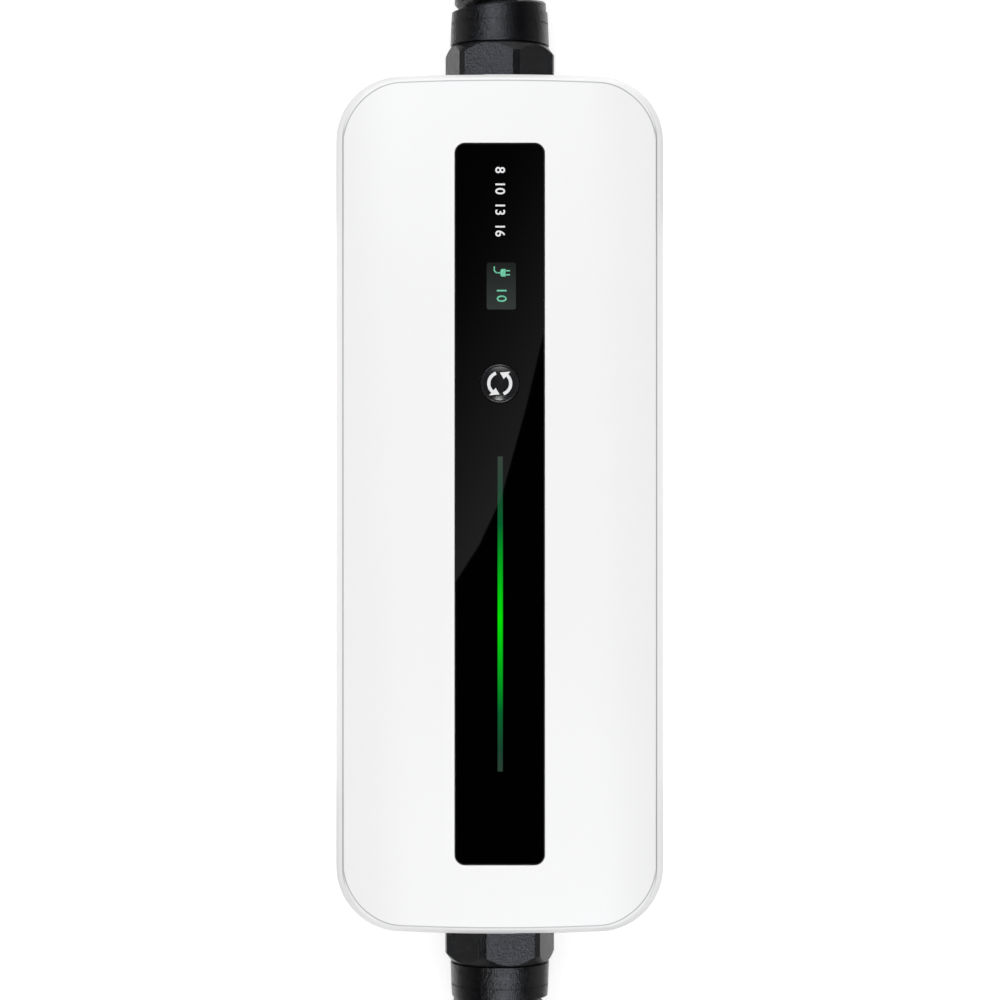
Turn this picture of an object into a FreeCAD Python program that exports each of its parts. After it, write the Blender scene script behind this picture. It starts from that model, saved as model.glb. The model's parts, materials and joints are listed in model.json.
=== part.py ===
import FreeCAD, Part
import math
import os
import Sketcher
from FreeCAD import Placement, Rotation, Vector

# Portable charger for electric cars: a moulded control box that lies on its
# back, with a cable gland at each end, a short mains lead with its plug, and
# the long vehicle lead folded into a tied hank under its connector.
# +X is across the box, +Y runs towards the mains end, +Z comes out of the
# front panel. The origin is on the table, under the middle of the box.

os.makedirs("parts", exist_ok=True)
doc = FreeCAD.newDocument("portable_charger")

# Driving dimensions, in millimetres

SIZES = {
    # Control box: the crown's flat stops short of each side by crown_flat, the
    # cover's edge stands seam_height above the seam, and the rear shell's
    # shoulder starts shoulder_start below it
    "case_width": 88.0,
    "case_length": 231.0,
    "case_height": 52.0,
    "corner_radius": 17.5,
    "end_radius": 600.0,
    "back_edge_radius": 5.0,
    "crown_flat": 20.0,
    "crown_radius": 36.59,
    "cover_edge_radius": 1.1,
    "seam_height": 1.05,
    "seam_chamfer": 0.35,
    "shoulder_start": 7.0,
    "shoulder_radius": 11.4,
    "wall": 2.5,
    "rib_height": 3.0,
    "rib_width": 1.2,
    "rib_pitch": 28.0,
    # Tongue, gasket and screws that close the box; the screws stand in from its
    # sides by screw_x and from its ends by screw_y
    "rebate_width": 1.4,
    "rebate_depth": 1.4,
    "tongue_width": 1.6,
    "tongue_depth": 3.0,
    "rim_flange": 1.6,
    "fit_gap": 0.2,
    "screw_x": 10.0,
    "screw_y": 27.5,
    "boss_radius": 4.6,
    "boss_height": 30.0,
    "cover_boss_radius": 3.4,
    "screw_radius": 1.5,
    "screw_grip": 3.0,
    "screw_length": 14.0,
    "screw_head_radius": 2.9,
    "screw_head_height": 2.2,
    # Display lens, button, light bar and screen
    "lens_width": 23.7,
    "lens_length": 191.0,
    "lens_corner": 2.65,
    "lens_thickness": 1.4,
    "lens_sink": 0.1,
    "lens_gap": 0.15,
    "lens_edge": 0.25,
    "button_y": 31.9,
    "button_radius": 5.15,
    "button_gap": 0.25,
    "button_rise": 0.2,
    "button_travel": 0.8,
    "button_flange": 1.1,
    "button_flange_width": 1.2,
    "button_dish": 0.35,
    "button_rim": 0.7,
    "boot_wall": 0.6,
    "boot_radius": 5.6,
    "switch_width": 6.2,
    "switch_height": 3.5,
    "plunger_radius": 1.7,
    "screen_y": 57.7,
    "screen_width": 7.7,
    "screen_length": 12.4,
    "screen_margin": 0.4,
    "light_y": -29.1,
    "light_width": 1.5,
    "light_length": 83.4,
    "light_base_width": 5.5,
    "led_count": 14.0,
    "led_width": 2.8,
    "led_height": 1.1,
    # Boards and what stands on them; the control board hangs under the face by
    # control_board_height
    "board_thickness": 1.6,
    "board_notch_gap": 1.0,
    "power_board_width": 60.0,
    "power_board_length": 168.0,
    "power_board_height": 9.5,
    "power_screw_x": 23.0,
    "power_screw_y": 76.0,
    "control_board_width": 21.0,
    "control_board_length": 160.0,
    "control_board_height": 11.0,
    "control_screw_x": 8.0,
    "control_screw_y": 75.0,
    "standoff_radius": 3.0,
    "small_screw_radius": 1.1,
    "small_screw_head": 2.3,
    "small_screw_length": 7.0,
    "relay_width": 15.5,
    "relay_length": 29.5,
    "relay_height": 24.5,
    "relay_x": 16.0,
    "relay_y": 14.0,
    "sensor_radius": 14.0,
    "sensor_hole": 7.5,
    "sensor_height": 11.0,
    "sensor_y": -26.0,
    "supply_width": 23.0,
    "supply_length": 30.0,
    "supply_height": 16.0,
    "film_width": 26.0,
    "film_length": 10.0,
    "film_height": 18.0,
    "bulk_radius": 6.25,
    "bulk_height": 22.0,
    "fuse_radius": 2.6,
    "fuse_length": 20.0,
    "varistor_radius": 6.5,
    "varistor_thickness": 4.5,
    "terminal_pitch": 7.5,
    "terminal_depth": 12.0,
    "terminal_height": 15.0,
    "header_width": 12.0,
    "header_depth": 5.0,
    "header_height": 4.0,
    "header_y": -62.0,
    # Cable glands; the relief's tip ring laps the last turn by tip_length
    "gland_height": 24.0,
    "hex_across": 27.0,
    "hex_bevel": 2.0,
    "hex_turn": 12.6,
    "hex_length": 9.5,
    "hex_crest": 8.9,
    "hex_cone_slope": 1.35,
    "thread_radius": 11.25,
    "thread_gap": 0.1,
    "spigot_length": 11.5,
    "gland_bore": 7.6,
    "gland_seat_radius": 9.4,
    "gland_pad_radius": 16.0,
    "gland_pad_depth": 4.0,
    "gland_seal_thickness": 1.2,
    "locknut_length": 4.5,
    "neck_radius": 11.4,
    "neck_length": 3.6,
    "collar_radius": 13.5,
    "collar_length": 5.6,
    "collar_taper": 0.2,
    "ring_groove": 0.3,
    "coil_radius": 13.1,
    "coil_base_length": 3.4,
    "coil_width": 4.7,
    "coil_wall": 3.0,
    "coil_pitch": 6.9,
    "coil_height": 31.0,
    "coil_taper": 5.6,
    "tip_length": 0.9,
    # Leads, plug and connector
    "mains_cable_radius": 5.0,
    "vehicle_cable_radius": 6.0,
    "jacket_reach": 17.0,
    "core_radius": 1.4,
    "plug_radius": 19.5,
    "plug_disc_length": 18.0,
    "plug_grip_radius": 14.0,
    "plug_grip_length": 18.0,
    "plug_boot_length": 22.0,
    "plug_pin_radius": 2.4,
    "plug_pin_length": 19.0,
    "plug_pin_spacing": 19.0,
    "plug_pin_root": 8.0,
    "plug_pin_neck_radius": 1.9,
    "plug_pin_neck": 0.2,
    "earth_clip_width": 6.0,
    "earth_clip_thickness": 1.0,
    "nose_radius": 31.5,
    "nose_flat": 25.5,
    "nose_length": 58.0,
    "nose_wall": 3.0,
    "nose_depth": 34.0,
    "insert_radius": 25.0,
    "grip_radius": 18.5,
    "grip_length": 108.0,
    "grip_wall": 2.6,
    "connector_boot_length": 32.0,
    "connector_boot_radius": 11.0,
    "power_contact_radius": 3.0,
    "signal_contact_radius": 1.5,
    # Hank of the vehicle lead
    "hank_near_y": -274.0,
    "hank_run": 129.0,
    "hank_inner": 37.0,
    "hank_pitch": 12.1,
    "hank_wide": 2.0,
    "hank_high": 4.0,
    "tie_width": 16.0,
    "tie_thickness": 1.2,
}

sheet = doc.addObject("Spreadsheet::Sheet", "sizes")
for row, (alias, number) in enumerate(SIZES.items(), start=1):
    sheet.set(f"A{row}", alias)
    sheet.set(f"B{row}", str(number))
    sheet.setAlias(f"B{row}", alias)
doc.recompute()


class Size:
    """A length together with the sheet formula that it comes from."""

    def __init__(self, text, number):
        self.text = text
        self.number = float(number)

    def __float__(self):
        return self.number

    def __add__(self, other):
        other = sized(other)
        return Size(f"({self.text} + {other.text})", self.number + other.number)

    def __sub__(self, other):
        other = sized(other)
        return Size(f"({self.text} - {other.text})", self.number - other.number)

    def __mul__(self, other):
        other = sized(other)
        return Size(f"({self.text} * {other.text})", self.number * other.number)

    def __truediv__(self, other):
        other = sized(other)
        return Size(f"({self.text} / {other.text})", self.number / other.number)

    def __radd__(self, other):
        return sized(other) + self

    def __rsub__(self, other):
        return sized(other) - self

    def __rmul__(self, other):
        return sized(other) * self

    def __neg__(self):
        return Size("0", 0) - self


def sized(thing):
    """A Size as it is, or a plain number as a Size."""
    if isinstance(thing, Size):
        return thing
    return Size(f"({float(thing)!r})", thing)


def root(size):
    """The square root of a Size, in the sheet's formula too."""
    return Size(f"sqrt({size.text})", math.sqrt(size.number))


def least(size, limit):
    """The smaller of two Sizes, in the sheet's formula too."""
    smaller = min(size.number, limit.number)
    return Size(f"min({size.text}; {limit.text})", smaller)


class Sizes:
    """Each cell of the sheet, by its alias."""

    def __getattr__(self, alias):
        return Size(f"sizes.{alias}", getattr(sheet, alias))


s = Sizes()


# Sketches and features

def bind(thing, **sizes):
    """Tie each property of an object to the sheet."""
    for name, size in sizes.items():
        thing.setExpression(name.replace("__", "."), sized(size).text)


def circle(x, y, radius):
    return {"circle": (sized(x), sized(y), sized(radius))}


def outline(points, arcs=None):
    """A closed loop through points; arcs gives centre x, y and radius of a side."""
    points = [(sized(x), sized(y)) for x, y in points]
    return {"points": points, "arcs": arcs or {}}


def rectangle(x, y, width, length):
    left, right = x - width / 2, x + width / 2
    low, high = y - length / 2, y + length / 2
    return outline([(left, low), (right, low), (right, high), (left, high)])


def rounded(x, y, width, length, radius):
    """A rectangle about x, y with quarter rounds at its corners."""
    x, y, radius = sized(x), sized(y), sized(radius)
    side, end = width / 2, length / 2
    dx, dy = side - radius, end - radius
    points = [
        (x + side, y - dy), (x + side, y + dy), (x + dx, y + end), (x - dx, y + end),
        (x - side, y + dy), (x - side, y - dy), (x - dx, y - end), (x + dx, y - end),
    ]
    arcs = {
        1: (x + dx, y + dy, radius),
        3: (x - dx, y + dy, radius),
        5: (x - dx, y - dy, radius),
        7: (x + dx, y - dy, radius),
    }
    return outline(points, arcs)


def draw(sketch, loops):
    """Draw loops in a sketch, every point and radius tied to the sheet."""
    for loop in loops:
        if "circle" in loop:
            draw_circle(sketch, *loop["circle"])
        else:
            draw_outline(sketch, loop["points"], loop["arcs"])


def hold(sketch, kind, name, size, *where):
    """Add one named constraint and tie it to the sheet."""
    index = sketch.addConstraint(Sketcher.Constraint(kind, *where, size.number))
    name = f"{name}{index}"
    sketch.renameConstraint(index, name)
    if "sizes." in size.text:
        sketch.setExpression(f"Constraints.{name}", size.text)


def draw_circle(sketch, x, y, radius):
    middle = Vector(x.number, y.number, 0)
    shape = Part.Circle(middle, Vector(0, 0, 1), radius.number)
    side = sketch.addGeometry(shape)
    hold(sketch, "DistanceX", "x", x, -1, 1, side, 3)
    hold(sketch, "DistanceY", "y", y, -1, 1, side, 3)
    hold(sketch, "Radius", "radius", radius, side)


def draw_outline(sketch, points, arcs):
    corners = [Vector(x.number, y.number, 0) for x, y in points]
    sides, ends = [], []
    for index, start in enumerate(corners):
        stop = corners[(index + 1) % len(corners)]
        if index not in arcs:
            sides.append(sketch.addGeometry(Part.LineSegment(start, stop)))
            ends.append((1, 2))
            continue
        x, y, radius = (sized(value) for value in arcs[index])
        middle = Vector(x.number, y.number, 0)
        turns_left = (start - middle).cross(stop - middle).z > 0
        first, last = (start, stop) if turns_left else (stop, start)
        angles = [math.atan2(p.y - middle.y, p.x - middle.x) for p in (first, last)]
        ring = Part.Circle(middle, Vector(0, 0, 1), radius.number)
        sides.append(sketch.addGeometry(Part.ArcOfCircle(ring, *angles)))
        ends.append((1, 2) if turns_left else (2, 1))
    for index, side in enumerate(sides):
        after = (index + 1) % len(sides)
        joint = (side, ends[index][1], sides[after], ends[after][0])
        sketch.addConstraint(Sketcher.Constraint("Coincident", *joint))
        x, y = points[index]
        hold(sketch, "DistanceX", "x", x, -1, 1, side, ends[index][0])
        hold(sketch, "DistanceY", "y", y, -1, 1, side, ends[index][0])
        if index in arcs:
            hold(sketch, "Radius", "radius", sized(arcs[index][2]), side)


# How a sketch on each origin plane lies: the sign of its normal along the axis
PLANES = {"XY": 1, "XZ": -1, "YZ": 1}


class Piece:
    """One body, built feature by feature, that becomes a node of its name."""

    def __init__(self, name):
        self.body = doc.addObject("PartDesign::Body", name)
        self.body.Label = name
        self.body.AllowCompound = True

    def volume(self):
        shape = self.body.Shape
        return 0.0 if shape.isNull() else shape.Volume

    def sketch(self, plane, level, loops):
        """A sketch parallel to an origin plane, at a level along its axis."""
        role = f"{plane}_Plane"
        origin = next(o for o in self.body.Origin.OriginFeatures if o.Role == role)
        sketch = self.body.newObject("Sketcher::SketchObject", "Sketch")
        sketch.AttachmentSupport = (origin, [""])
        sketch.MapMode = "FlatFace"
        bind(sketch, AttachmentOffset__Base__z=sized(level) * PLANES[plane])
        draw(sketch, loops)
        return sketch

    def feature(self, kind, sketch, grows, **settings):
        """Add a feature, and make sure that it added or took material."""
        before = self.volume()
        feature = self.body.newObject(f"PartDesign::{kind}", kind)
        if sketch is not None:
            feature.Profile = sketch
            sketch.Visibility = False
        for name, setting in settings.items():
            setattr(feature, name, setting)
        return feature, before, grows

    def notch(self, plane, level, length, *loops):
        """Cut as a pocket does, where a loop may also lie clear of the piece."""
        feature = self.feature("Pocket", self.sketch(plane, level, loops), False)[0]
        feature.Reversed = PLANES[plane] > 0
        bind(feature, Length=length)
        doc.recompute()
        return self

    def settle(self, feature, before, grows):
        doc.recompute()
        change = self.volume() - before
        if (change <= 0) if grows else (change >= 0):
            raise ValueError(f"{self.body.Label}: {feature.Name} changed {change:.3f}")
        return self

    def pad(self, plane, level, length, *loops):
        """Grow material from level, by length along the plane's own axis."""
        sketch = self.sketch(plane, level, loops)
        parts = self.feature("Pad", sketch, True, Reversed=PLANES[plane] < 0)
        bind(parts[0], Length=length)
        return self.settle(*parts)

    def pocket(self, plane, level, length, *loops):
        """Cut material from level, by length along the plane's own axis."""
        sketch = self.sketch(plane, level, loops)
        parts = self.feature("Pocket", sketch, False, Reversed=PLANES[plane] > 0)
        bind(parts[0], Length=length)
        return self.settle(*parts)

    def turn(self, level, half_section, axis="V_Axis", plane="XY"):
        """Turn a half section round the sketch's upright or flat axis."""
        sketch = self.sketch(plane, level, [half_section])
        parts = self.feature("Revolution", sketch, True, ReferenceAxis=(sketch, [axis]))
        return self.settle(*parts)

    def groove(self, level, half_section, axis="V_Axis", plane="XY"):
        sketch = self.sketch(plane, level, [half_section])
        parts = self.feature("Groove", sketch, False, ReferenceAxis=(sketch, [axis]))
        return self.settle(*parts)

    def take(self, other):
        """Cut another piece's whole form out of this one."""
        parts = self.feature("Boolean", None, False, Type="Cut")
        parts[0].setObjects([other.body])
        return self.settle(*parts)

    def dress(self, kind, choose, radius):
        """Fillet or chamfer the edges that choose accepts."""
        tip = self.body.Tip
        names = [f"Edge{i + 1}" for i, e in enumerate(tip.Shape.Edges) if choose(e)]
        parts = self.feature(kind, None, False, Base=(tip, names))
        if kind == "Fillet":
            bind(parts[0], Radius=radius)
        else:
            bind(parts[0], Size=radius)
        doc.recompute()
        if "Invalid" in parts[0].State or self.body.Shape.isNull():
            raise ValueError(f"{self.body.Label}: {kind} of {len(names)} edges failed")
        return self

    def place(self, x=0, y=0, z=0, turn=None):
        """Move the whole body, turned first about its own origin."""
        if turn is not None:
            self.body.Placement = Placement(Vector(), turn)
        bind(self.body, Placement__Base__x=x, Placement__Base__y=y, Placement__Base__z=z)
        return self


def level_edge(height):
    """Chooses the edges that lie flat at a height."""
    def choose(edge):
        box = edge.BoundBox
        return max(abs(box.ZMin - float(height)), abs(box.ZMax - float(height))) < 1e-4
    return choose


# Control box

def case_outline(inset):
    """The box seen from the front, drawn in by inset on every side."""
    inset = sized(inset)
    half_width = s.case_width / 2 - inset
    corner_x = s.case_width / 2 - s.corner_radius
    end_centre = s.case_length / 2 - s.end_radius
    reach = s.end_radius - s.corner_radius
    rise = root(reach * reach - corner_x * corner_x)
    corner_y = end_centre + rise
    touch_x = corner_x * (s.end_radius - inset) / reach
    touch_y = end_centre + rise * (s.end_radius - inset) / reach
    corner = s.corner_radius - inset
    bow = s.end_radius - inset
    points = [
        (half_width, -corner_y), (half_width, corner_y),
        (touch_x, touch_y), (-touch_x, touch_y),
        (-half_width, corner_y), (-half_width, -corner_y),
        (-touch_x, -touch_y), (touch_x, -touch_y),
    ]
    arcs = {
        1: (corner_x, corner_y, corner),
        2: (0, end_centre, bow),
        3: (-corner_x, corner_y, corner),
        5: (-corner_x, -corner_y, corner),
        6: (0, -end_centre, bow),
        7: (corner_x, -corner_y, corner),
    }
    return outline(points, arcs)


def sagitta(radius, reach):
    """How far an arc falls away from its tangent over a reach along it."""
    return radius - root(radius * radius - reach * reach)


def shoulder_inset(inset):
    """How far the shoulder has turned in where it meets the seam."""
    return sagitta(s.shoulder_radius - inset, s.shoulder_start)


def crown_height(x, inset):
    """Height of the front cover's face, or of its inside, at a distance x from the middle."""
    return s.case_height - inset - sagitta(s.crown_radius - inset, x - FLAT_SIDE)


END = s.case_length / 2
FLAT_SIDE = s.case_width / 2 - s.crown_flat
SEAM = s.case_height - sagitta(s.crown_radius, s.crown_flat) - s.seam_height
SEAM_INSET = shoulder_inset(0)
RIM_INSET = s.wall + shoulder_inset(s.wall)
TONGUE_INSET = RIM_INSET + s.fit_gap
CLEAR = s.case_length
SCREW_X = s.case_width / 2 - s.screw_x
SCREW_Y = END - s.screw_y
SCREW_PLACES = [(x * SCREW_X, y * SCREW_Y) for x in (-1, 1) for y in (-1, 0, 1)]
POWER_SCREWS = [(x * s.power_screw_x, y * s.power_screw_y) for x in (-1, 1) for y in (-1, 1)]
CONTROL_SCREWS = [
    (x * s.control_screw_x, y * s.control_screw_y) for x in (-1, 1) for y in (-1, 1)
]
SCREW_SEAT = s.boss_height - s.screw_grip
POWER_TOP = s.power_board_height + s.board_thickness
CONTROL_LOW = s.case_height - s.control_board_height
CONTROL_TOP = CONTROL_LOW + s.board_thickness
PANEL_FLOOR = s.case_height - s.lens_sink - s.lens_thickness
COVER_UNDERSIDE = s.case_height - s.wall


def circles(places, radius):
    return [circle(x, y, radius) for x, y in places]


def tub(name, inset):
    """The rear shell's solid form, or its hollow where inset is the wall."""
    inset = sized(inset)
    top = SEAM - s.shoulder_start + s.shoulder_radius - inset
    piece = Piece(name)
    piece.pad("XY", inset, top - inset, case_outline(inset))
    piece.dress("Fillet", level_edge(inset), s.back_edge_radius - inset)
    piece.dress("Fillet", level_edge(top), s.shoulder_radius - inset)
    return piece


def build_rear_shell():
    shell = tub("rear_shell", 0)
    above_seam = rectangle(sized(0), sized(0), 2 * CLEAR, 2 * CLEAR)
    shell.pocket("XY", SEAM, s.shoulder_radius, above_seam)
    shell.dress("Chamfer", level_edge(SEAM), s.seam_chamfer)
    shell.take(tub("rear_shell_hollow", s.wall))
    rebate = case_outline(RIM_INSET - s.rebate_width)
    shell.pocket("XY", SEAM - s.rebate_depth, s.rebate_depth, rebate)

    floor = s.wall - s.fit_gap
    shell.pad("XY", floor, s.boss_height - floor, *circles(SCREW_PLACES, s.boss_radius))
    standoff = s.power_board_height - floor
    shell.pad("XY", floor, standoff, *circles(POWER_SCREWS, s.standoff_radius))
    ribs = [
        rectangle(sized(0), row * s.rib_pitch, s.power_board_width, s.rib_width)
        for row in (-1.5, -0.5, 0.5, 1.5)
    ]
    shell.pad("XY", floor, s.rib_height, *ribs)

    head_gap = s.screw_head_radius + s.fit_gap
    shell.pocket("XY", 0, SCREW_SEAT, *circles(SCREW_PLACES, head_gap))
    shank_gap = s.screw_radius + s.fit_gap
    shell.pocket("XY", 0, s.boss_height, *circles(SCREW_PLACES, shank_gap))
    pilot = s.small_screw_length - s.board_thickness + s.fit_gap
    pilots = circles(POWER_SCREWS, s.small_screw_radius)
    shell.pocket("XY", s.power_board_height - pilot, pilot, *pilots)

    pad_back = s.gland_pad_depth - s.wall / 2
    pad = circle(0, s.gland_height, s.gland_pad_radius)
    hole = circle(0, s.gland_height, s.thread_radius + s.thread_gap)
    shell.pad("XZ", END - s.gland_pad_depth, pad_back, pad)
    shell.pad("XZ", s.wall / 2 - END, pad_back, pad)
    shell.pocket("XZ", -END, s.case_length, hole)
    return shell


def crowned(name, low, top_inset, side_inset):
    """A block with the cover's crowned face and the box's outline."""
    high = s.case_height - top_inset
    side = s.case_width / 2
    edge = crown_height(side, top_inset)
    radius = s.crown_radius - top_inset
    centre = s.case_height - s.crown_radius
    points = [
        (-side, low), (side, low), (side, edge),
        (FLAT_SIDE, high), (-FLAT_SIDE, high), (-side, edge),
    ]
    arcs = {2: (FLAT_SIDE, centre, radius), 4: (-FLAT_SIDE, centre, radius)}
    piece = Piece(name)
    piece.pad("XZ", -END, s.case_length, outline(points, arcs))
    around = rectangle(sized(0), sized(0), 2 * CLEAR, 2 * CLEAR)
    piece.pocket("XY", low, s.case_height, around, case_outline(side_inset))
    return piece


def crown_rim(edge):
    """Chooses the edges where the crowned face meets the cover's side."""
    box = edge.BoundBox
    along = box.YLength > float(s.case_length) / 2
    at_crown_line = along and abs(abs(box.Center.x) - float(FLAT_SIDE)) < 1
    return box.ZMin > float(SEAM + s.seam_height / 2) and not at_crown_line


def build_front_cover():
    cover = crowned("front_cover", SEAM, sized(0), SEAM_INSET)
    side_room = (s.seam_height - s.seam_chamfer) * 1.6
    cover.dress("Fillet", crown_rim, least(s.cover_edge_radius, side_room))
    cover.dress("Chamfer", level_edge(SEAM), s.seam_chamfer)
    inside = SEAM_INSET + s.wall
    cover.take(crowned("front_cover_hollow", SEAM - s.wall, s.wall, inside))

    tongue = case_outline(TONGUE_INSET)
    tongue_inside = case_outline(TONGUE_INSET + s.tongue_width)
    flange = case_outline(SEAM_INSET + s.wall / 2)
    cover.pad("XY", SEAM, s.rim_flange, flange, tongue_inside)
    cover.pad("XY", SEAM - s.tongue_depth, s.tongue_depth, tongue, tongue_inside)

    low = s.boss_height + s.fit_gap
    crown = crown_height(SCREW_X + s.cover_boss_radius, sized(0))
    boss = crown - s.fit_gap - low
    cover.pad("XY", low, boss, *circles(SCREW_PLACES, s.cover_boss_radius))
    pilot = s.screw_radius - s.thread_gap
    depth = s.screw_length - s.screw_grip + 1
    cover.pocket("XY", low, depth, *circles(SCREW_PLACES, pilot))
    hang = COVER_UNDERSIDE + s.fit_gap - CONTROL_TOP
    cover.pad("XY", CONTROL_TOP, hang, *circles(CONTROL_SCREWS, s.standoff_radius))
    depth = s.small_screw_length - s.board_thickness + s.fit_gap
    pilots = circles(CONTROL_SCREWS, s.small_screw_radius - s.thread_gap)
    cover.pocket("XY", CONTROL_TOP, depth, *pilots)

    recess = rounded(
        0, 0, s.lens_width + 2 * s.lens_gap, s.lens_length + 2 * s.lens_gap,
        s.lens_corner + s.lens_gap,
    )
    cover.pocket("XY", PANEL_FLOOR, s.case_height - PANEL_FLOOR, recess)
    button = circle(0, s.button_y, s.button_radius + s.button_gap)
    margin = 2 * s.screen_margin
    window = rectangle(
        sized(0), s.screen_y, s.screen_width + 2 * margin, s.screen_length + 2 * margin
    )
    slot = light_bar(2 * s.screen_margin)
    cover.pocket("XY", COVER_UNDERSIDE, s.case_height, button, window, slot)
    return cover


def light_bar(margin):
    width = s.light_width + 2 * margin
    length = s.light_length + 2 * margin
    return rounded(0, s.light_y, width, length, width / 3)


def build_gasket():
    gasket = Piece("seam_gasket")
    low = SEAM - s.rebate_depth
    outer = case_outline(RIM_INSET - s.rebate_width)
    gasket.pad("XY", low, s.rebate_depth, outer, case_outline(RIM_INSET))
    return gasket


def build_lens():
    lens = Piece("display_lens")
    plate = rounded(0, 0, s.lens_width, s.lens_length, s.lens_corner)
    lens.pad("XY", PANEL_FLOOR, s.lens_thickness, plate)
    lens.dress("Chamfer", level_edge(PANEL_FLOOR + s.lens_thickness), s.lens_edge)
    hole = circle(0, s.button_y, s.button_radius + s.button_gap)
    lens.pocket("XY", PANEL_FLOOR, s.lens_thickness, hole)
    return lens


def build_button():
    """A cap with a dished top and a flange that keeps it under the cover."""
    button = Piece("mode_button")
    top = s.case_height - s.lens_sink + s.button_rise
    flange_top = COVER_UNDERSIDE - s.fit_gap
    flange_low = flange_top - s.button_flange
    flange = s.button_radius + s.button_flange_width
    dish = s.button_radius - s.button_rim
    depth = s.button_dish
    ball = (dish * dish + depth * depth) / (2 * depth)
    points = [
        (0, flange_low), (flange, flange_low), (flange, flange_top),
        (s.button_radius, flange_top), (s.button_radius, top),
        (dish, top), (0, top - depth),
    ]
    arcs = {5: (0, top - depth + ball, ball)}
    button.turn(0, outline(points, arcs), plane="XZ")
    rim = s.button_radius.number

    def top_edge(edge):
        box = edge.BoundBox
        return box.ZMin > top.number - 1e-3 and abs(box.XLength / 2 - rim) < 0.05
    button.dress("Fillet", top_edge, s.button_rim / 2)
    return button.place(y=s.button_y)


def build_boot():
    """The silicone dome that lifts the button and seals over its switch."""
    boot = Piece("button_boot")
    top = COVER_UNDERSIDE - s.fit_gap - s.button_flange - s.button_travel - s.thread_gap
    inside = s.boot_radius - s.boot_wall
    crown = s.boot_radius / 2
    shoulder = CONTROL_TOP + s.switch_height
    roof = top - s.boot_wall
    points = [
        (inside, CONTROL_TOP), (s.boot_radius, CONTROL_TOP), (s.boot_radius, shoulder),
        (crown, top), (0, top), (0, roof), (crown, roof), (inside, shoulder),
    ]
    boot.turn(0, outline(points), plane="XZ")
    return boot.place(y=s.button_y)


def build_switch():
    switch = Piece("button_switch")
    base = rectangle(sized(0), s.button_y, s.switch_width, s.switch_width)
    switch.pad("XY", CONTROL_TOP, s.switch_height, base)
    plunger = circle(0, s.button_y, s.plunger_radius)
    switch.pad("XY", CONTROL_TOP, s.switch_height + s.boot_wall / 2, plunger)
    return switch


def build_light_guide():
    guide = Piece("light_guide")
    low = CONTROL_TOP + s.led_height + s.fit_gap
    top = COVER_UNDERSIDE - s.fit_gap
    base = rounded(
        0, s.light_y, s.light_base_width, s.light_length + s.light_base_width,
        s.light_base_width / 4,
    )
    guide.pad("XY", low, top - low, base)
    rib_low = low + (top - low) / 2
    rib = PANEL_FLOOR - s.thread_gap - rib_low
    guide.pad("XY", rib_low, rib, light_bar(s.screen_margin))
    return guide


def build_led_row():
    """The row of lamps on the control board, under the light guide."""
    row = Piece("led_row")
    count = int(s.led_count.number)
    step = s.light_length / (count - 1)
    first = s.light_y - s.light_length / 2
    lamps = [
        rectangle(sized(0), first + index * step, s.led_width, s.led_width)
        for index in range(count)
    ]
    row.pad("XY", CONTROL_TOP, s.led_height, *lamps)
    return row


def build_screen():
    """The screen's carrier on the control board, and its glass in the cover's window."""
    screen = Piece("screen_module")
    top = PANEL_FLOOR - s.thread_gap
    shelf = COVER_UNDERSIDE - s.wall
    carrier = rectangle(
        sized(0), s.screen_y, s.screen_width + s.wall, s.screen_length + 3 * s.wall
    )
    screen.pad("XY", CONTROL_TOP, shelf - CONTROL_TOP, carrier)
    margin = s.screen_margin
    glass = rectangle(
        sized(0), s.screen_y, s.screen_width + 2 * margin, s.screen_length + 2 * margin
    )
    screen.pad("XY", CONTROL_TOP, top - CONTROL_TOP, glass)
    return screen


# Boards and what stands on them

def build_power_board():
    board = Piece("power_board")
    plate = rectangle(sized(0), sized(0), s.power_board_width, s.power_board_length)
    holes = circles(POWER_SCREWS, s.small_screw_radius + s.fit_gap)
    board.pad("XY", s.power_board_height, s.board_thickness, plate, *holes)
    bosses = circles(SCREW_PLACES, s.boss_radius + s.board_notch_gap)
    return board.notch("XY", s.power_board_height, s.board_thickness, *bosses)


def build_control_board():
    board = Piece("control_board")
    plate = rectangle(sized(0), sized(0), s.control_board_width, s.control_board_length)
    holes = circles(CONTROL_SCREWS, s.small_screw_radius + s.fit_gap)
    board.pad("XY", CONTROL_LOW, s.board_thickness, plate, *holes)
    return board


def build_small_screws(name, places, seat, up):
    """Pan head screws whose heads bear on a board at height seat."""
    screws = Piece(name)
    head = s.small_screw_head / 2
    shank = s.small_screw_length
    head_low = seat - head if up else seat
    shank_low = seat if up else seat - shank
    screws.pad("XY", head_low, head, *circles(places, s.small_screw_head))
    screws.pad("XY", shank_low, shank, *circles(places, s.small_screw_radius - s.thread_gap))
    return screws


def build_housing_screws():
    """The six screws that come in from the back and hold the cover."""
    screws = Piece("housing_screws")
    head_low = SCREW_SEAT - s.screw_head_height
    heads = circles(SCREW_PLACES, s.screw_head_radius)
    screws.pad("XY", head_low, s.screw_head_height, *heads)
    shank = s.screw_radius - s.thread_gap - s.thread_gap
    screws.pad("XY", SCREW_SEAT, s.screw_length, *circles(SCREW_PLACES, shank))
    slot = s.screw_head_radius
    crosses = []
    for x, y in SCREW_PLACES:
        crosses.append(rectangle(x, y, slot, slot / 5))
    screws.pocket("XY", head_low, s.screw_head_height / 2, *crosses)
    crosses = [rectangle(x, y, slot / 5, slot) for x, y in SCREW_PLACES]
    screws.pocket("XY", head_low, s.screw_head_height / 2, *crosses)
    return screws


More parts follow.
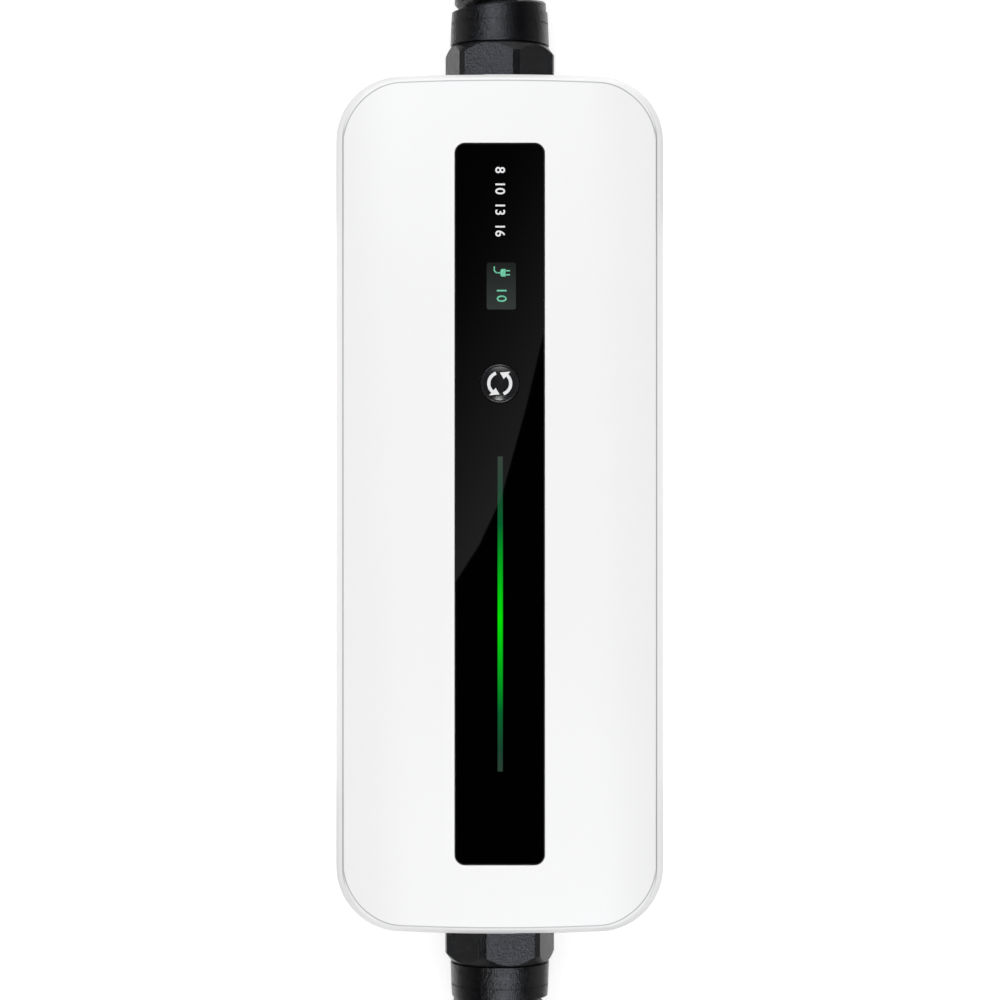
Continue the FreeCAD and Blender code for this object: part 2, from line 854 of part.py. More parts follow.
def build_block(name, x, y, low, width, length, height, edge):
    """A moulded case with softened upright edges, standing on a board."""
    block = Piece(name)
    block.pad("XY", low, height, rounded(x, y, width, length, edge))
    block.dress("Chamfer", level_edge(low + height), sized(edge) / 2)
    return block


def build_relay(name, side):
    place = (side * s.relay_x, s.relay_y)
    size = (s.relay_width, s.relay_length, s.relay_height)
    return build_block(name, *place, POWER_TOP, *size, 0.8)


def build_sensor():
    """The ring that both mains cores pass through, to sense a leak to earth."""
    ring = Piece("leakage_sensor")
    places = circle(0, s.sensor_y, s.sensor_radius), circle(0, s.sensor_y, s.sensor_hole)
    ring.pad("XY", POWER_TOP, s.sensor_height, *places)
    ring.dress("Chamfer", level_edge(POWER_TOP + s.sensor_height), 1)
    return ring


def build_bulk_capacitor():
    can = Piece("bulk_capacitor")
    x, y = -s.power_board_width / 4, -s.power_screw_y + 2 * s.terminal_depth
    can.pad("XY", POWER_TOP, s.bulk_height, circle(x, y, s.bulk_radius))
    can.dress("Fillet", level_edge(POWER_TOP + s.bulk_height), 0.8)
    return can


def build_fuse():
    """A ceramic tube fuse between its two end caps."""
    fuse = Piece("fuse")
    cap = s.fuse_radius + s.fit_gap
    length = s.fuse_length
    points = [
        (0, 0), (cap, 0), (cap, length / 4), (s.fuse_radius, length / 4),
        (s.fuse_radius, 3 * length / 4), (cap, 3 * length / 4), (cap, length), (0, length),
    ]
    fuse.turn(0, outline(points))
    x = -s.power_board_width / 2 + 2 * s.fuse_radius
    return fuse.place(x, s.power_screw_y / 2, POWER_TOP + cap + s.fit_gap)


def build_varistors():
    """Three surge absorbing discs that stand on their edges."""
    discs = Piece("varistors")
    step = 2 * s.varistor_radius + 1
    x = [(index - 1) * step for index in range(3)]
    height = POWER_TOP + s.varistor_radius + s.fit_gap
    places = [circle(place, height, s.varistor_radius) for place in x]
    discs.pad("XZ", s.power_screw_y - 2 * s.varistor_radius, s.varistor_thickness, *places)
    return discs


def build_terminals(name, side, poles):
    """A screw terminal block whose wire mouths face the gland at its end."""
    block = Piece(name)
    width = poles * s.terminal_pitch
    middle = side * s.power_screw_y
    low = middle - s.terminal_depth / 2
    block.pad("XY", POWER_TOP, s.terminal_height, rectangle(
        sized(0), sized(middle), width, s.terminal_depth
    ))
    pitch = s.terminal_pitch
    x = [(index - (poles - 1) / 2) * pitch for index in range(poles)]
    screw_low = POWER_TOP + s.terminal_height / 2
    heads = [circle(place, middle, pitch / 3) for place in x]
    block.pocket("XY", screw_low + s.terminal_height / 4, s.terminal_height / 4, *heads)
    mouth = s.core_radius + s.fit_gap
    mouths = [circle(place, POWER_TOP + s.terminal_height / 3, mouth) for place in x]
    face = low + s.terminal_depth / 2 if side > 0 else low
    block.pocket("XZ", face, s.terminal_depth / 2, *mouths)
    return block


def build_header(name, low):
    header = Piece(name)
    plan = rectangle(sized(0), s.header_y, s.header_width, s.header_depth)
    header.pad("XY", low, s.header_height, plan)
    slot = rectangle(sized(0), s.header_y, s.header_width - 2, s.header_depth / 3)
    return header, slot


def build_board_link():
    """Two headers and the flat ribbon that joins the boards."""
    lower, slot = build_header("power_header", POWER_TOP)
    depth = s.header_height / 2
    lower.pocket("XY", POWER_TOP + depth, depth, slot)
    upper_low = CONTROL_LOW - s.header_height
    upper, slot = build_header("control_header", upper_low)
    upper.pocket("XY", upper_low, depth, slot)
    ribbon = Piece("board_ribbon")
    low = POWER_TOP + depth + s.thread_gap
    high = upper_low + depth - s.thread_gap
    thin = s.header_depth / 3 - s.fit_gap
    plan = rectangle(sized(0), s.header_y, s.header_width - 2 - s.fit_gap, thin)
    ribbon.pad("XY", low, high - low, plan)
    return lower, upper, ribbon


def build_controller():
    chip = Piece("controller_chip")
    width = s.control_board_width / 2
    low = CONTROL_LOW - s.board_thickness / 2
    chip.pad("XY", low, s.board_thickness / 2, rectangle(sized(0), sized(0), width, width))
    return chip


# Cable glands: each is made for the mains end, and turned about for the other

SEAL_FACE = END - s.gland_pad_depth
NUT_FACE = SEAL_FACE - s.gland_seal_thickness
SPIGOT_END = END - s.spigot_length
COLLAR_START = END + s.hex_length + s.thread_gap
COLLAR_END = COLLAR_START + s.collar_length
COIL_START = COLLAR_END + s.coil_base_length
RELIEF_TIP = COIL_START + s.coil_height + s.fit_gap
HALF_TURN = Rotation(Vector(0, 0, 1), 180)


def set_gland(piece, end):
    """Lift a gland piece to its axis, turned about at the vehicle end."""
    return piece.place(z=s.gland_height, turn=HALF_TURN if end == "vehicle" else None)


def hexagon(bevel):
    """The gland's hexagon in its own plane, with a flat across each corner."""
    corner = s.hex_across / 2 / math.cos(math.pi / 6)
    radius = corner - bevel / 2 * math.tan(math.pi / 6)
    points = []
    for step in range(6):
        angle = math.radians(60 * step + 120 + float(s.hex_turn))
        across, up = math.cos(angle), math.sin(angle)
        half = bevel / 2
        points.append((radius * across + half * up, radius * up - half * across))
        points.append((radius * across - half * up, radius * up + half * across))
    return outline(points)


def build_gland_body(end):
    body = Piece(f"{end}_gland_body")
    neck_end = END + s.hex_length + s.neck_length
    seat = END + 1
    hexagon_end = END + s.hex_length
    points = [
        (s.gland_bore, SPIGOT_END), (s.thread_radius, SPIGOT_END),
        (s.thread_radius, hexagon_end), (s.neck_radius, hexagon_end),
        (s.neck_radius, neck_end), (s.gland_seat_radius, neck_end),
        (s.gland_seat_radius, seat), (s.gland_bore, seat),
    ]
    body.turn(0, outline(points))
    bore = circle(0, 0, s.thread_radius - s.thread_gap)
    body.pad("XZ", END, s.hex_length, hexagon(s.hex_bevel), bore)
    crest = END + s.hex_crest
    side = s.hex_across / 2
    reach = s.hex_across / 4
    drop = reach * s.hex_cone_slope
    rise = s.hex_length - s.hex_crest + s.fit_gap
    tip = side - rise / s.hex_cone_slope
    points = [
        (side + reach, crest - drop), (side + reach, crest + rise), (tip, crest + rise),
    ]
    body.groove(0, outline(points))
    return set_gland(body, end)


def build_gland_washer(end):
    washer = Piece(f"{end}_gland_washer")
    ring = circle(0, 0, s.thread_radius + s.thread_gap)
    rim = circle(0, 0, s.gland_pad_radius - 1)
    washer.pad("XZ", NUT_FACE, s.gland_seal_thickness, rim, ring)
    return set_gland(washer, end)


def build_gland_locknut(end):
    nut = Piece(f"{end}_gland_locknut")
    bore = circle(0, 0, s.thread_radius + s.thread_gap)
    nut.pad("XZ", NUT_FACE - s.locknut_length, s.locknut_length, hexagon(sized(0.6)), bore)
    return set_gland(nut, end)


def build_gland_insert(end, cable_radius):
    """The rubber ring that grips the lead's jacket."""
    insert = Piece(f"{end}_gland_insert")
    low = END + 1 + s.thread_gap
    high = END + s.hex_length + s.neck_length - s.thread_gap
    outer = s.gland_seat_radius - s.thread_gap
    inner = cable_radius + s.thread_gap
    nose = (outer + inner) / 2
    points = [(inner, low), (outer, low), (outer, high - 1), (nose, high), (inner, high)]
    insert.turn(0, outline(points))
    return set_gland(insert, end)


def build_bend_protector(end):
    """The clamping nut, moulded in one with its tapering spiral bend protector."""
    nut = Piece(f"{end}_bend_protector")
    neck = s.neck_radius + s.fit_gap
    shelf = END + s.hex_length + s.neck_length + s.fit_gap
    inside = s.coil_radius - s.coil_wall
    groove = s.ring_groove
    taper = s.collar_taper
    points = [
        (neck, COLLAR_START), (s.collar_radius, COLLAR_START),
        (s.collar_radius - taper, COLLAR_END), (s.collar_radius - taper - groove, COLLAR_END),
        (s.collar_radius - taper - groove, COLLAR_END + groove),
        (s.coil_radius + taper, COLLAR_END + groove), (s.coil_radius, COIL_START),
        (inside, COIL_START), (inside, shelf), (neck, shelf),
    ]
    nut.turn(0, outline(points))
    low = COIL_START - s.coil_width - s.fit_gap
    high = low + s.coil_width
    outer = s.thread_gap - s.coil_radius
    inner = outer + s.coil_wall
    soft = s.coil_wall / 5
    section = outline([
        (inner, low), (inner, high), (outer + soft, high), (outer, high - soft),
        (outer, low + soft), (outer + soft, low),
    ])
    sketch = nut.sketch("XY", 0, [section])
    parts = nut.feature(
        "AdditiveHelix", sketch, True, ReferenceAxis=(sketch, ["V_Axis"]),
        Mode="pitch-height-angle", Angle=-float(s.coil_taper),
    )
    bind(parts[0], Pitch=s.coil_pitch, Height=s.coil_height)
    nut.settle(*parts)
    shrink = s.coil_height * math.tan(math.radians(float(s.coil_taper)))
    tip_low = RELIEF_TIP - s.coil_width - s.tip_length
    outer = s.coil_radius - shrink
    points = [
        (outer - s.coil_wall, tip_low), (outer, tip_low), (outer, RELIEF_TIP - 1),
        (outer - 1, RELIEF_TIP), (outer - s.coil_wall, RELIEF_TIP),
    ]
    nut.turn(0, outline(points))
    return set_gland(nut, end)


def build_jacket(end, cable_radius):
    """The end of the lead's jacket, from inside the box to the relief's tip."""
    jacket = Piece(f"{end}_cable_end")
    start = END - s.jacket_reach
    jacket.pad("XZ", start, RELIEF_TIP - start, circle(0, 0, cable_radius))
    return set_gland(jacket, end)


# Leads

def bent_path(name, points):
    """Straight runs through points, joined by arcs as large as the runs allow."""
    share = 0.45
    edges, radii = [], []
    last = points[0]
    for before, corner, after in zip(points, points[1:], points[2:]):
        arriving, leaving = corner - before, after - corner
        turn = arriving.getAngle(leaving)
        reach = share * min(arriving.Length, leaving.Length)
        radius = reach / math.tan(turn / 2)
        radii.append(radius)
        arriving.normalize()
        leaving.normalize()
        start, stop = corner - arriving * reach, corner + leaving * reach
        inward = (leaving - arriving).normalize()
        middle = corner + inward * (radius / math.cos(turn / 2) - radius)
        edges.append(Part.LineSegment(last, start).toShape())
        edges.append(Part.Arc(start, middle, stop).toShape())
        last = stop
    edges.append(Part.LineSegment(last, points[-1]).toShape())
    path = Part.Wire(edges)
    tightest = ", ".join(f"{radius:.0f}" for radius in radii)
    print(f"{name}: {path.Length:.0f} mm long, bend radii {tightest}")
    return path


def tube(name, route, radius):
    """A round tube along a bent path."""
    points = [Vector(*(float(value) for value in point)) for point in route]
    path = bent_path(name, points)
    radius = float(radius)
    ring = Part.makeCircle(radius, points[0], points[1] - points[0])
    solid = path.makePipeShell([Part.Wire(ring)], True, True)
    expected = math.pi * radius * radius * path.Length
    if abs(solid.Volume / expected - 1) > 0.01:
        raise ValueError(f"{name}: volume {solid.Volume:.0f}, expected {expected:.0f}")
    return solid


def build_solids(name, solids):
    """A node made of solids that are worked out here."""
    feature = doc.addObject("Part::Feature", name)
    feature.Label = name
    feature.Shape = solids[0] if len(solids) == 1 else Part.makeCompound(solids)
    feature.Placement = Placement()
    return feature


PLUG_X, PLUG_Y = -61.5, 237.0
MAINS_ROUTE = [
    (0, RELIEF_TIP, s.gland_height),
    (0, 184, s.gland_height), (6.2, 203.5, 20), (19.4, 221, 14), (36, 236, 8.5),
    (47.5, 256.5, 5.5), (50, 281, 5), (42, 304, 5), (25, 321, 5), (2, 328.5, 5),
    (-22, 325.5, 5), (-42.5, 312.5, 6), (-56, 292, 10), (-61, 268.5, 15),
    (PLUG_X, 249.5, s.plug_radius), (PLUG_X, PLUG_Y, s.plug_radius),
]
HANK_FAR_Y = s.hank_near_y - s.hank_run
HANK_OUTER = s.hank_inner + s.hank_pitch * (s.hank_wide - 1)
HANK_TOP = s.hank_pitch * s.hank_high
TIE_Y = s.hank_near_y - s.tie_width
TAIL = Vector(-47.2, -380, 60.2)
CONNECTOR_TURN = Rotation(Vector(0, 0, 1), -13).multiply(Rotation(Vector(1, 0, 0), 8))
VEHICLE_ROUTE = [
    (0, -RELIEF_TIP, s.gland_height),
    (0, -184, s.gland_height), (3.5, -203, 16), (14, -220.5, 8.5), (28, -233, 6),
]
TAIL_ROUTE = [
    (49.1, -306, 43), (49.5, -341, 48.5), (49.2, -377, 54.7), (48.5, -415.6, 54.9),
    (33.5, -441.6, 54.9), (4.1, -455.7, 54.9), (-28.1, -448.8, 54.9), (-47.6, -426, 55.2),
    TAIL + CONNECTOR_TURN.multVec(Vector(0, -20, 0)), TAIL,
]


def build_leads():
    mains = tube("mains_cable", MAINS_ROUTE, s.mains_cable_radius)
    vehicle = tube("vehicle_cable", VEHICLE_ROUTE, s.vehicle_cable_radius)
    tail = tube("vehicle_cable_tail", TAIL_ROUTE, s.vehicle_cable_radius)
    return (
        build_solids("mains_cable", [mains]),
        build_solids("vehicle_cable", [vehicle]),
        build_solids("vehicle_cable_tail", [tail]),
    )


def build_cores(name, side, poles):
    """The lead's cores, from the end of its jacket down to their terminals."""
    start = float(END - s.jacket_reach)
    face = float(s.power_screw_y + s.terminal_depth / 2)
    high, low = float(s.gland_height), float(POWER_TOP + s.terminal_height / 3)
    step = (start - face) / 4
    cores = []
    for index in range(poles):
        place = index - (poles - 1) / 2
        near = place * float(2 * s.core_radius + s.thread_gap)
        far = place * float(s.terminal_pitch)
        cores.append(tube(f"{name} {index + 1}", [
            (near, side * start, high), (near, side * (start - step), high),
            (far, side * (face + step), low), (far, side * (face - step), low),
        ], s.core_radius))
    return build_solids(name, cores)


def racetrack(radius):
    """The outline of a hank's turn whose half rounds have this radius."""
    middle = (s.hank_near_y + HANK_FAR_Y) / 2
    return rounded(sized(0), middle, 2 * radius, s.hank_run + 2 * radius, radius - s.thread_gap)


def build_hank():
    """The vehicle lead's folded turns, as one block, notched for its ties."""
    hank = Piece("vehicle_hank")
    half = s.hank_pitch / 2
    hank.pad("XY", 0, HANK_TOP, racetrack(HANK_OUTER + half), racetrack(s.hank_inner - half))
    hank.dress("Chamfer", level_edge(HANK_TOP), half / 2)
    hank.dress("Chamfer", level_edge(0), half / 2)
    notch = s.tie_thickness + s.thread_gap
    strip = rectangle(sized(0), TIE_Y, 3 * HANK_OUTER, s.tie_width + 2 * s.thread_gap)
    hank.pocket("XY", 0, notch, strip)
    return hank


def build_ties():
    """A strap of hook and loop tape round each side of the hank."""
    ties = Piece("hank_ties")
    gap, thick = s.thread_gap, s.tie_thickness
    width = s.hank_pitch * s.hank_wide + 2 * gap
    height = HANK_TOP + gap - thick
    middle = (s.hank_inner + HANK_OUTER) / 2
    loops = []
    for side in (-1, 1):
        x, z = side * middle, thick + height / 2
        loops.append(rounded(x, z, width + 2 * thick, height + 2 * thick, 3 * thick))
        loops.append(rounded(x, z, width, height, 2 * thick))
    ties.pad("XZ", TIE_Y - s.tie_width / 2, s.tie_width, *loops)
    return ties


# Mains plug: made along +Y from its lead to its pins, then rolled onto its side
# and turned about

PLUG_DISC = s.plug_boot_length + s.plug_grip_length
PLUG_FACE = PLUG_DISC + s.plug_disc_length
PLUG_TURN = HALF_TURN.multiply(Rotation(Vector(0, 1, 0), 90))


def set_plug(piece):
    return piece.place(PLUG_X, PLUG_Y, s.plug_radius, turn=PLUG_TURN)


def plug_pins(radius):
    return [circle(side * s.plug_pin_spacing / 2, 0, radius) for side in (-1, 1)]


def build_plug():
    """Boot, grip and round face, moulded in one."""
    body = Piece("mains_plug")
    bore = s.mains_cable_radius + s.thread_gap
    tip = s.mains_cable_radius + 1.5
    boot = s.mains_cable_radius + 4
    grip = s.plug_grip_radius
    disc = s.plug_radius
    mouth = s.thread_gap
    points = [
        (0, mouth), (tip, mouth), (boot, s.plug_boot_length), (grip - 2, s.plug_boot_length + 3),
        (grip, s.plug_boot_length + 8), (grip, PLUG_DISC - 4), (disc - 1.5, PLUG_DISC + 2),
        (disc, PLUG_DISC + 4), (disc, PLUG_FACE - 1), (disc - 1, PLUG_FACE), (0, PLUG_FACE),
    ]
    body.turn(0, outline(points))
    for step in range(4):
        low = s.plug_boot_length * (step + 1) / 5
        body.groove(0, outline([
            (bore + 0.8, low), (boot + 2, low), (boot + 2, low + 1.6), (bore + 0.8, low + 1.6),
        ]))
    depth = s.earth_clip_thickness + 1
    edge = disc - depth
    slots = [
        rectangle(sized(0), side * (edge + disc) / 2, s.earth_clip_width + 1, disc - edge + 1)
        for side in (-1, 1)
    ]
    body.pocket("XZ", PLUG_DISC + 3, s.plug_disc_length - 3, *slots)
    keys = [
        rectangle(side * disc, sized(0), 2 * depth, s.earth_clip_width) for side in (-1, 1)
    ]
    body.pocket("XZ", PLUG_DISC + 5, s.plug_disc_length - 5, *keys)
    roots = plug_pins(s.plug_pin_neck_radius)
    body.pocket("XZ", PLUG_FACE - s.plug_pin_root, s.plug_pin_root, *roots)
    return set_plug(body)


def build_plug_pins():
    """Two pins on thinner roots, which stand a neck's length out of the face."""
    pins = Piece("plug_pins")
    root_length = s.plug_pin_root + s.plug_pin_neck
    neck = PLUG_FACE + s.plug_pin_neck
    shank = s.plug_pin_length - s.plug_pin_neck
    pins.pad("XZ", neck, shank, *plug_pins(s.plug_pin_radius))
    roots = plug_pins(s.plug_pin_neck_radius)
    pins.pad("XZ", PLUG_FACE - s.plug_pin_root, root_length, *roots)
    tip = (PLUG_FACE + s.plug_pin_length).number

    def at_tip(edge):
        return edge.BoundBox.YMin > tip - 1e-3
    pins.dress("Fillet", at_tip, s.plug_pin_radius / 2)
    return set_plug(pins)


def build_earth_clips():
    """The two spring strips of the earth contact, in the plug's side slots."""
    clips = Piece("plug_earth_clips")
    low = PLUG_DISC + 3 + s.thread_gap
    length = s.plug_disc_length - 4
    height = s.plug_radius - s.earth_clip_thickness / 2 - 1 + s.thread_gap
    strips = [
        rectangle(sized(0), side * height, s.earth_clip_width, s.earth_clip_thickness)
        for side in (-1, 1)
    ]
    clips.pad("XZ", low, length, *strips)
    return set_plug(clips)


# Vehicle connector: made along +Y from its lead to its face, then laid on the hank

GRIP_START = s.connector_boot_length - 6
GRIP_END = s.connector_boot_length + s.grip_length
NOSE_FACE = GRIP_END + s.nose_length


def set_connector(piece):
    return piece.place(*TAIL, turn=CONNECTOR_TURN)


def flattened(radius, flat):
    """A circle whose top is cut off level at flat."""
    side = root(radius * radius - flat * flat)
    points = [(-side, flat), (0, -radius), (side, flat)]
    return outline(points, {0: (0, 0, radius), 1: (0, 0, radius)})


def build_connector_boot():
    boot = Piece("connector_boot")
    thick = s.connector_boot_radius
    tip = s.vehicle_cable_radius + 1.5
    stem = thick - 3
    inside = s.thread_gap
    points = [
        (0, inside), (tip, inside), (thick, s.connector_boot_length - 8),
        (thick, GRIP_START), (stem, GRIP_START), (stem, s.connector_boot_length + 4),
        (0, s.connector_boot_length + 4),
    ]
    boot.turn(0, outline(points))
    for step in range(4):
        low = 4 + 4.5 * step
        boot.groove(0, outline([
            (tip - 0.4, low), (thick + 2, low), (thick + 2, low + 1.8), (tip - 0.4, low + 1.8),
        ]))
    return set_connector(boot)


def grip_section():
    """Half section of the hollow grip: waist, swell and the flare behind the nose."""
    wall = s.grip_wall
    start, end = GRIP_START, GRIP_END
    length = end - start
    rise, middle, fall = start + length / 6, start + length * 0.42, start + length * 0.75
    collar = s.connector_boot_radius + 3
    bore = s.connector_boot_radius - 3 + s.thread_gap
    swell = s.grip_radius
    waist = swell - 1.5
    points = [
        (bore, start), (collar, start), (waist, rise), (swell, middle),
        (waist, fall), (swell + 3, end - 2 * wall), (swell + 6, end),
        (swell + 6 - wall, end), (swell + 3 - wall, end - 2 * wall), (waist - wall, fall),
        (swell - wall, middle), (waist - wall, rise), (bore, start + length / 12),
    ]
    return outline(points)


def build_grip(half, side):
    grip = Piece(f"connector_grip_{half}")
    grip.turn(0, grip_section())
    away = rectangle(sized(0), (GRIP_START + GRIP_END) / 2, 4 * s.nose_radius, 2 * s.grip_length)
    gap = s.thread_gap / 2
    level = gap - s.nose_radius if side > 0 else -gap
    grip.pocket("XY", level, s.nose_radius, away)
    return set_connector(grip)


def build_nose():
    nose = Piece("connector_nose")
    low = GRIP_END + s.thread_gap
    wide = s.nose_radius
    start = s.grip_radius + 6
    points = [
        (0, low), (start, low), (wide - 2, low + 10), (wide, low + 14),
        (wide, NOSE_FACE - 1), (wide - 1, NOSE_FACE), (0, NOSE_FACE),
    ]
    nose.turn(0, outline(points))
    above = rectangle(sized(0), NOSE_FACE - s.nose_length / 2, 2 * wide, 2 * s.nose_length)
    nose.pocket("XY", s.nose_flat, wide, above)
    recess = flattened(wide - s.nose_wall, s.nose_flat - s.nose_wall)
    nose.pocket("XZ", NOSE_FACE - s.nose_depth, s.nose_depth, recess)
    return set_connector(nose)


CONTACT_ROWS = {"signal": [(-7.6, 12.8), (7.6, 12.8)], "power": [
    (-15.4, 0.0), (0.0, 0.0), (15.4, 0.0), (-8.2, -14.0), (8.2, -14.0),
]}


def contact_holes(grow):
    power = circles(CONTACT_ROWS["power"], s.power_contact_radius + grow)
    return power + circles(CONTACT_ROWS["signal"], s.signal_contact_radius + grow)


def build_insert():
    """The insulating face that carries the seven contacts."""
    insert = Piece("connector_insert")
    low = NOSE_FACE - s.nose_depth
    plan = flattened(s.insert_radius, s.nose_flat - s.nose_wall - 4)
    insert.pad("XZ", low, s.nose_depth - 2, plan)
    depth = s.nose_depth * 2 / 3
    insert.pocket("XZ", NOSE_FACE - 2 - depth, depth, *contact_holes(s.wall / 2))
    return set_connector(insert)


def build_contacts():
    """The seven sleeves that take the car's pins."""
    contacts = Piece("connector_contacts")
    depth = s.nose_depth * 2 / 3
    length = depth - 4
    for grow, name in ((s.wall / 2 - s.thread_gap, "pad"), (sized(0), "pocket")):
        getattr(contacts, name)("XZ", NOSE_FACE - 2 - depth, length, *contact_holes(grow))
    return set_connector(contacts)


# Every piece of the charger

def build_all():
    build_rear_shell()
    build_front_cover()
    build_gasket()
    build_lens()
    build_button()
    build_boot()
    build_switch()
    build_light_guide()
    build_led_row()
    build_screen()
    build_housing_screws()
    build_power_board()
    build_control_board()
    build_small_screws("power_board_screws", POWER_SCREWS, POWER_TOP, up=False)
    build_small_screws("control_board_screws", CONTROL_SCREWS, CONTROL_LOW, up=True)
    build_relay("relay_line", -1)
    build_relay("relay_neutral", 1)
    supply_y = (s.relay_y + s.relay_length / 2 + s.power_screw_y - 2 * s.varistor_radius) / 2
    supply = (s.supply_width, s.supply_length, s.supply_height)
    build_block("supply_module", 8, supply_y, POWER_TOP, *supply, 1)
    film_y = (s.sensor_y - s.sensor_radius + s.header_y) / 2
    film = (s.film_width, s.film_length, s.film_height)
    build_block("film_capacitor", 8, film_y, POWER_TOP, *film, 1)
    build_sensor()
    build_bulk_capacitor()
    build_fuse()
    build_varistors()
    build_board_link()
    build_controller()
    for end, side, poles, cable in (
        ("mains", 1, 3, s.mains_cable_radius), ("vehicle", -1, 4, s.vehicle_cable_radius)
    ):
        build_terminals(f"{end}_terminals", side, poles)
        build_cores(f"{end}_cores", side, poles)
        build_gland_body(end)
        build_gland_washer(end)
        build_gland_locknut(end)
        build_gland_insert(end, cable)
        build_bend_protector(end)
        build_jacket(end, cable)
    build_leads()
    build_plug()
    build_plug_pins()
    build_earth_clips()
    build_hank()
    build_ties()
    build_connector_boot()
    build_grip("upper", 1)
    build_grip("lower", -1)
    build_nose()
    build_insert()
    build_contacts()


build_all()
doc.recompute()
for thing in doc.Objects:
    if "Invalid" in thing.State or "Error" in thing.State:
        raise ValueError(f"{thing.Label}: {thing.State}")
cutters = set()
for thing in doc.Objects:
    if thing.TypeId == "PartDesign::Boolean":
        cutters.update(cutter.Name for cutter in thing.Group)
pieces = [
    thing for thing in doc.Objects
    if thing.TypeId in ("Part::Feature", "PartDesign::Body") and thing.Name not in cutters
]
for piece in pieces:
    if piece.Shape.isNull() or not piece.Shape.isValid() or not piece.Shape.Solids:
        raise ValueError(f"{piece.Label}: its shape is not a valid solid")
os.makedirs("parts", exist_ok=True)
for piece in pieces:
    piece.Shape.exportStep(os.path.join("parts", f"{piece.Label}.step"))
print(len(pieces), "pieces,", sum(len(piece.Shape.Solids) for piece in pieces), "solids")
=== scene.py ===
# %% [markdown]
# A portable charger for electric vehicles, dressed in cells.
# The solids of the box, glands, plug and connector come from the frame and keep their
# shape. This lesson gives each of them a finish, lays the two leads as smooth
# curves, and adds the prints, the lit bar and the small trim.

# %% Tools and the frame
import json
import math

import bmesh
import bpy
from mathutils import Matrix, Vector


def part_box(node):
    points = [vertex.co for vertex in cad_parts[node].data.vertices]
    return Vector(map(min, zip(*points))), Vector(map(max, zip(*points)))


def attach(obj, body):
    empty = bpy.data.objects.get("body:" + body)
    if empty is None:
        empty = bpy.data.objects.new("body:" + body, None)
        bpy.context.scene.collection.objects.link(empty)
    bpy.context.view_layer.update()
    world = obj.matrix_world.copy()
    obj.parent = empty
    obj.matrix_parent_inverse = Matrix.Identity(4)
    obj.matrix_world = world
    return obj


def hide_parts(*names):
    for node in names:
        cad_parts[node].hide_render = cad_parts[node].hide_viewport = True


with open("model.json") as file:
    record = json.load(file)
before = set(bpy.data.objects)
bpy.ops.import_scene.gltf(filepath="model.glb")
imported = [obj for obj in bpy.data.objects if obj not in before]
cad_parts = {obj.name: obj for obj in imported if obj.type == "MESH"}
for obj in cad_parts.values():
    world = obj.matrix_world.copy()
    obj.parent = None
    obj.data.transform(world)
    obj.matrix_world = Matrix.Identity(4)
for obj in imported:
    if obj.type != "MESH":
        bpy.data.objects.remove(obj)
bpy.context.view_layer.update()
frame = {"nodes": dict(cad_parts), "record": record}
nodes = frame["nodes"]
MM = 0.001
print("pieces in the frame:", len(nodes))

# %% [markdown]
# Colours are picked as hex codes, as on a paint chart, and the renderer wants linear
# light. One function does the change for the whole lesson. The others add a node,
# set or link its sockets, and start a material with its surface shader.

# %% Colour and node helpers
def ink(code):
    """A hex colour as four linear numbers."""
    parts = [int(code[i:i + 2], 16) / 255 for i in (1, 3, 5)]
    linear = [p / 12.92 if p <= 0.04045 else ((p + 0.055) / 1.055) ** 2.4 for p in parts]
    return (*linear, 1.0)


def feed(tree, node, sockets):
    """Set or link the inputs of a node, each by its name or its number."""
    for name, value in sockets.items():
        if isinstance(name, int):
            socket = node.inputs[name]
        else:
            socket = next(s for s in node.inputs if s.name == name and s.enabled)
        if isinstance(value, bpy.types.NodeSocket):
            tree.links.new(value, socket)
        else:
            socket.default_value = value


def add(tree, kind, sockets=None, **settings):
    """A node with its settings, and its sockets set or linked."""
    node = tree.nodes.new(kind)
    for name, value in settings.items():
        setattr(node, name, value)
    feed(tree, node, sockets or {})
    return node


def result(node, name="Result"):
    """The output of a node that has this name and is in use."""
    return next(s for s in node.outputs if s.name == name and s.enabled)


def new_material(name):
    """An empty node material with its surface shader and output."""
    material = bpy.data.materials.new(name)
    material.use_nodes = True
    tree = material.node_tree
    tree.nodes.clear()
    shader = add(tree, "ShaderNodeBsdfPrincipled")
    add(tree, "ShaderNodeOutputMaterial", {"Surface": shader.outputs["BSDF"]})
    return material, tree, shader


print("white paint in linear light:", [round(part, 3) for part in ink("#F1F1F1")])

# %% [markdown]
# The photograph was taken from straight above the middle of the box, from a bit under
# a metre. At that distance the sides of the case just stay hidden and the glands look
# a little smaller than the cover, so the lens is worked out from the same distance.

# %% Camera
EYE_HEIGHT = 884  # above the floor, in millimetres
SENSOR_WIDTH = 36.0
# A length of one metre, one metre away, is as wide as 3.144 pictures.
PICTURES_WIDE = 3.144

camera_data = bpy.data.cameras.new("camera")
camera_data.sensor_width = SENSOR_WIDTH
camera_data.lens = PICTURES_WIDE * SENSOR_WIDTH
camera_data.clip_end = 20.0
camera = bpy.data.objects.new("camera", camera_data)
camera.location = (0.07 * MM, 1.06 * MM, EYE_HEIGHT * MM)
bpy.context.scene.collection.objects.link(camera)
bpy.context.scene.camera = camera
print("lens", round(camera_data.lens, 1), "mm, eye", EYE_HEIGHT, "mm up")

# %% [markdown]
# A lead is one smooth line under its own weight. A mesh tube would show corners where
# its pieces meet, so each lead is a spline with the fewest points that steer it, and
# a bevel gives it its thickness.

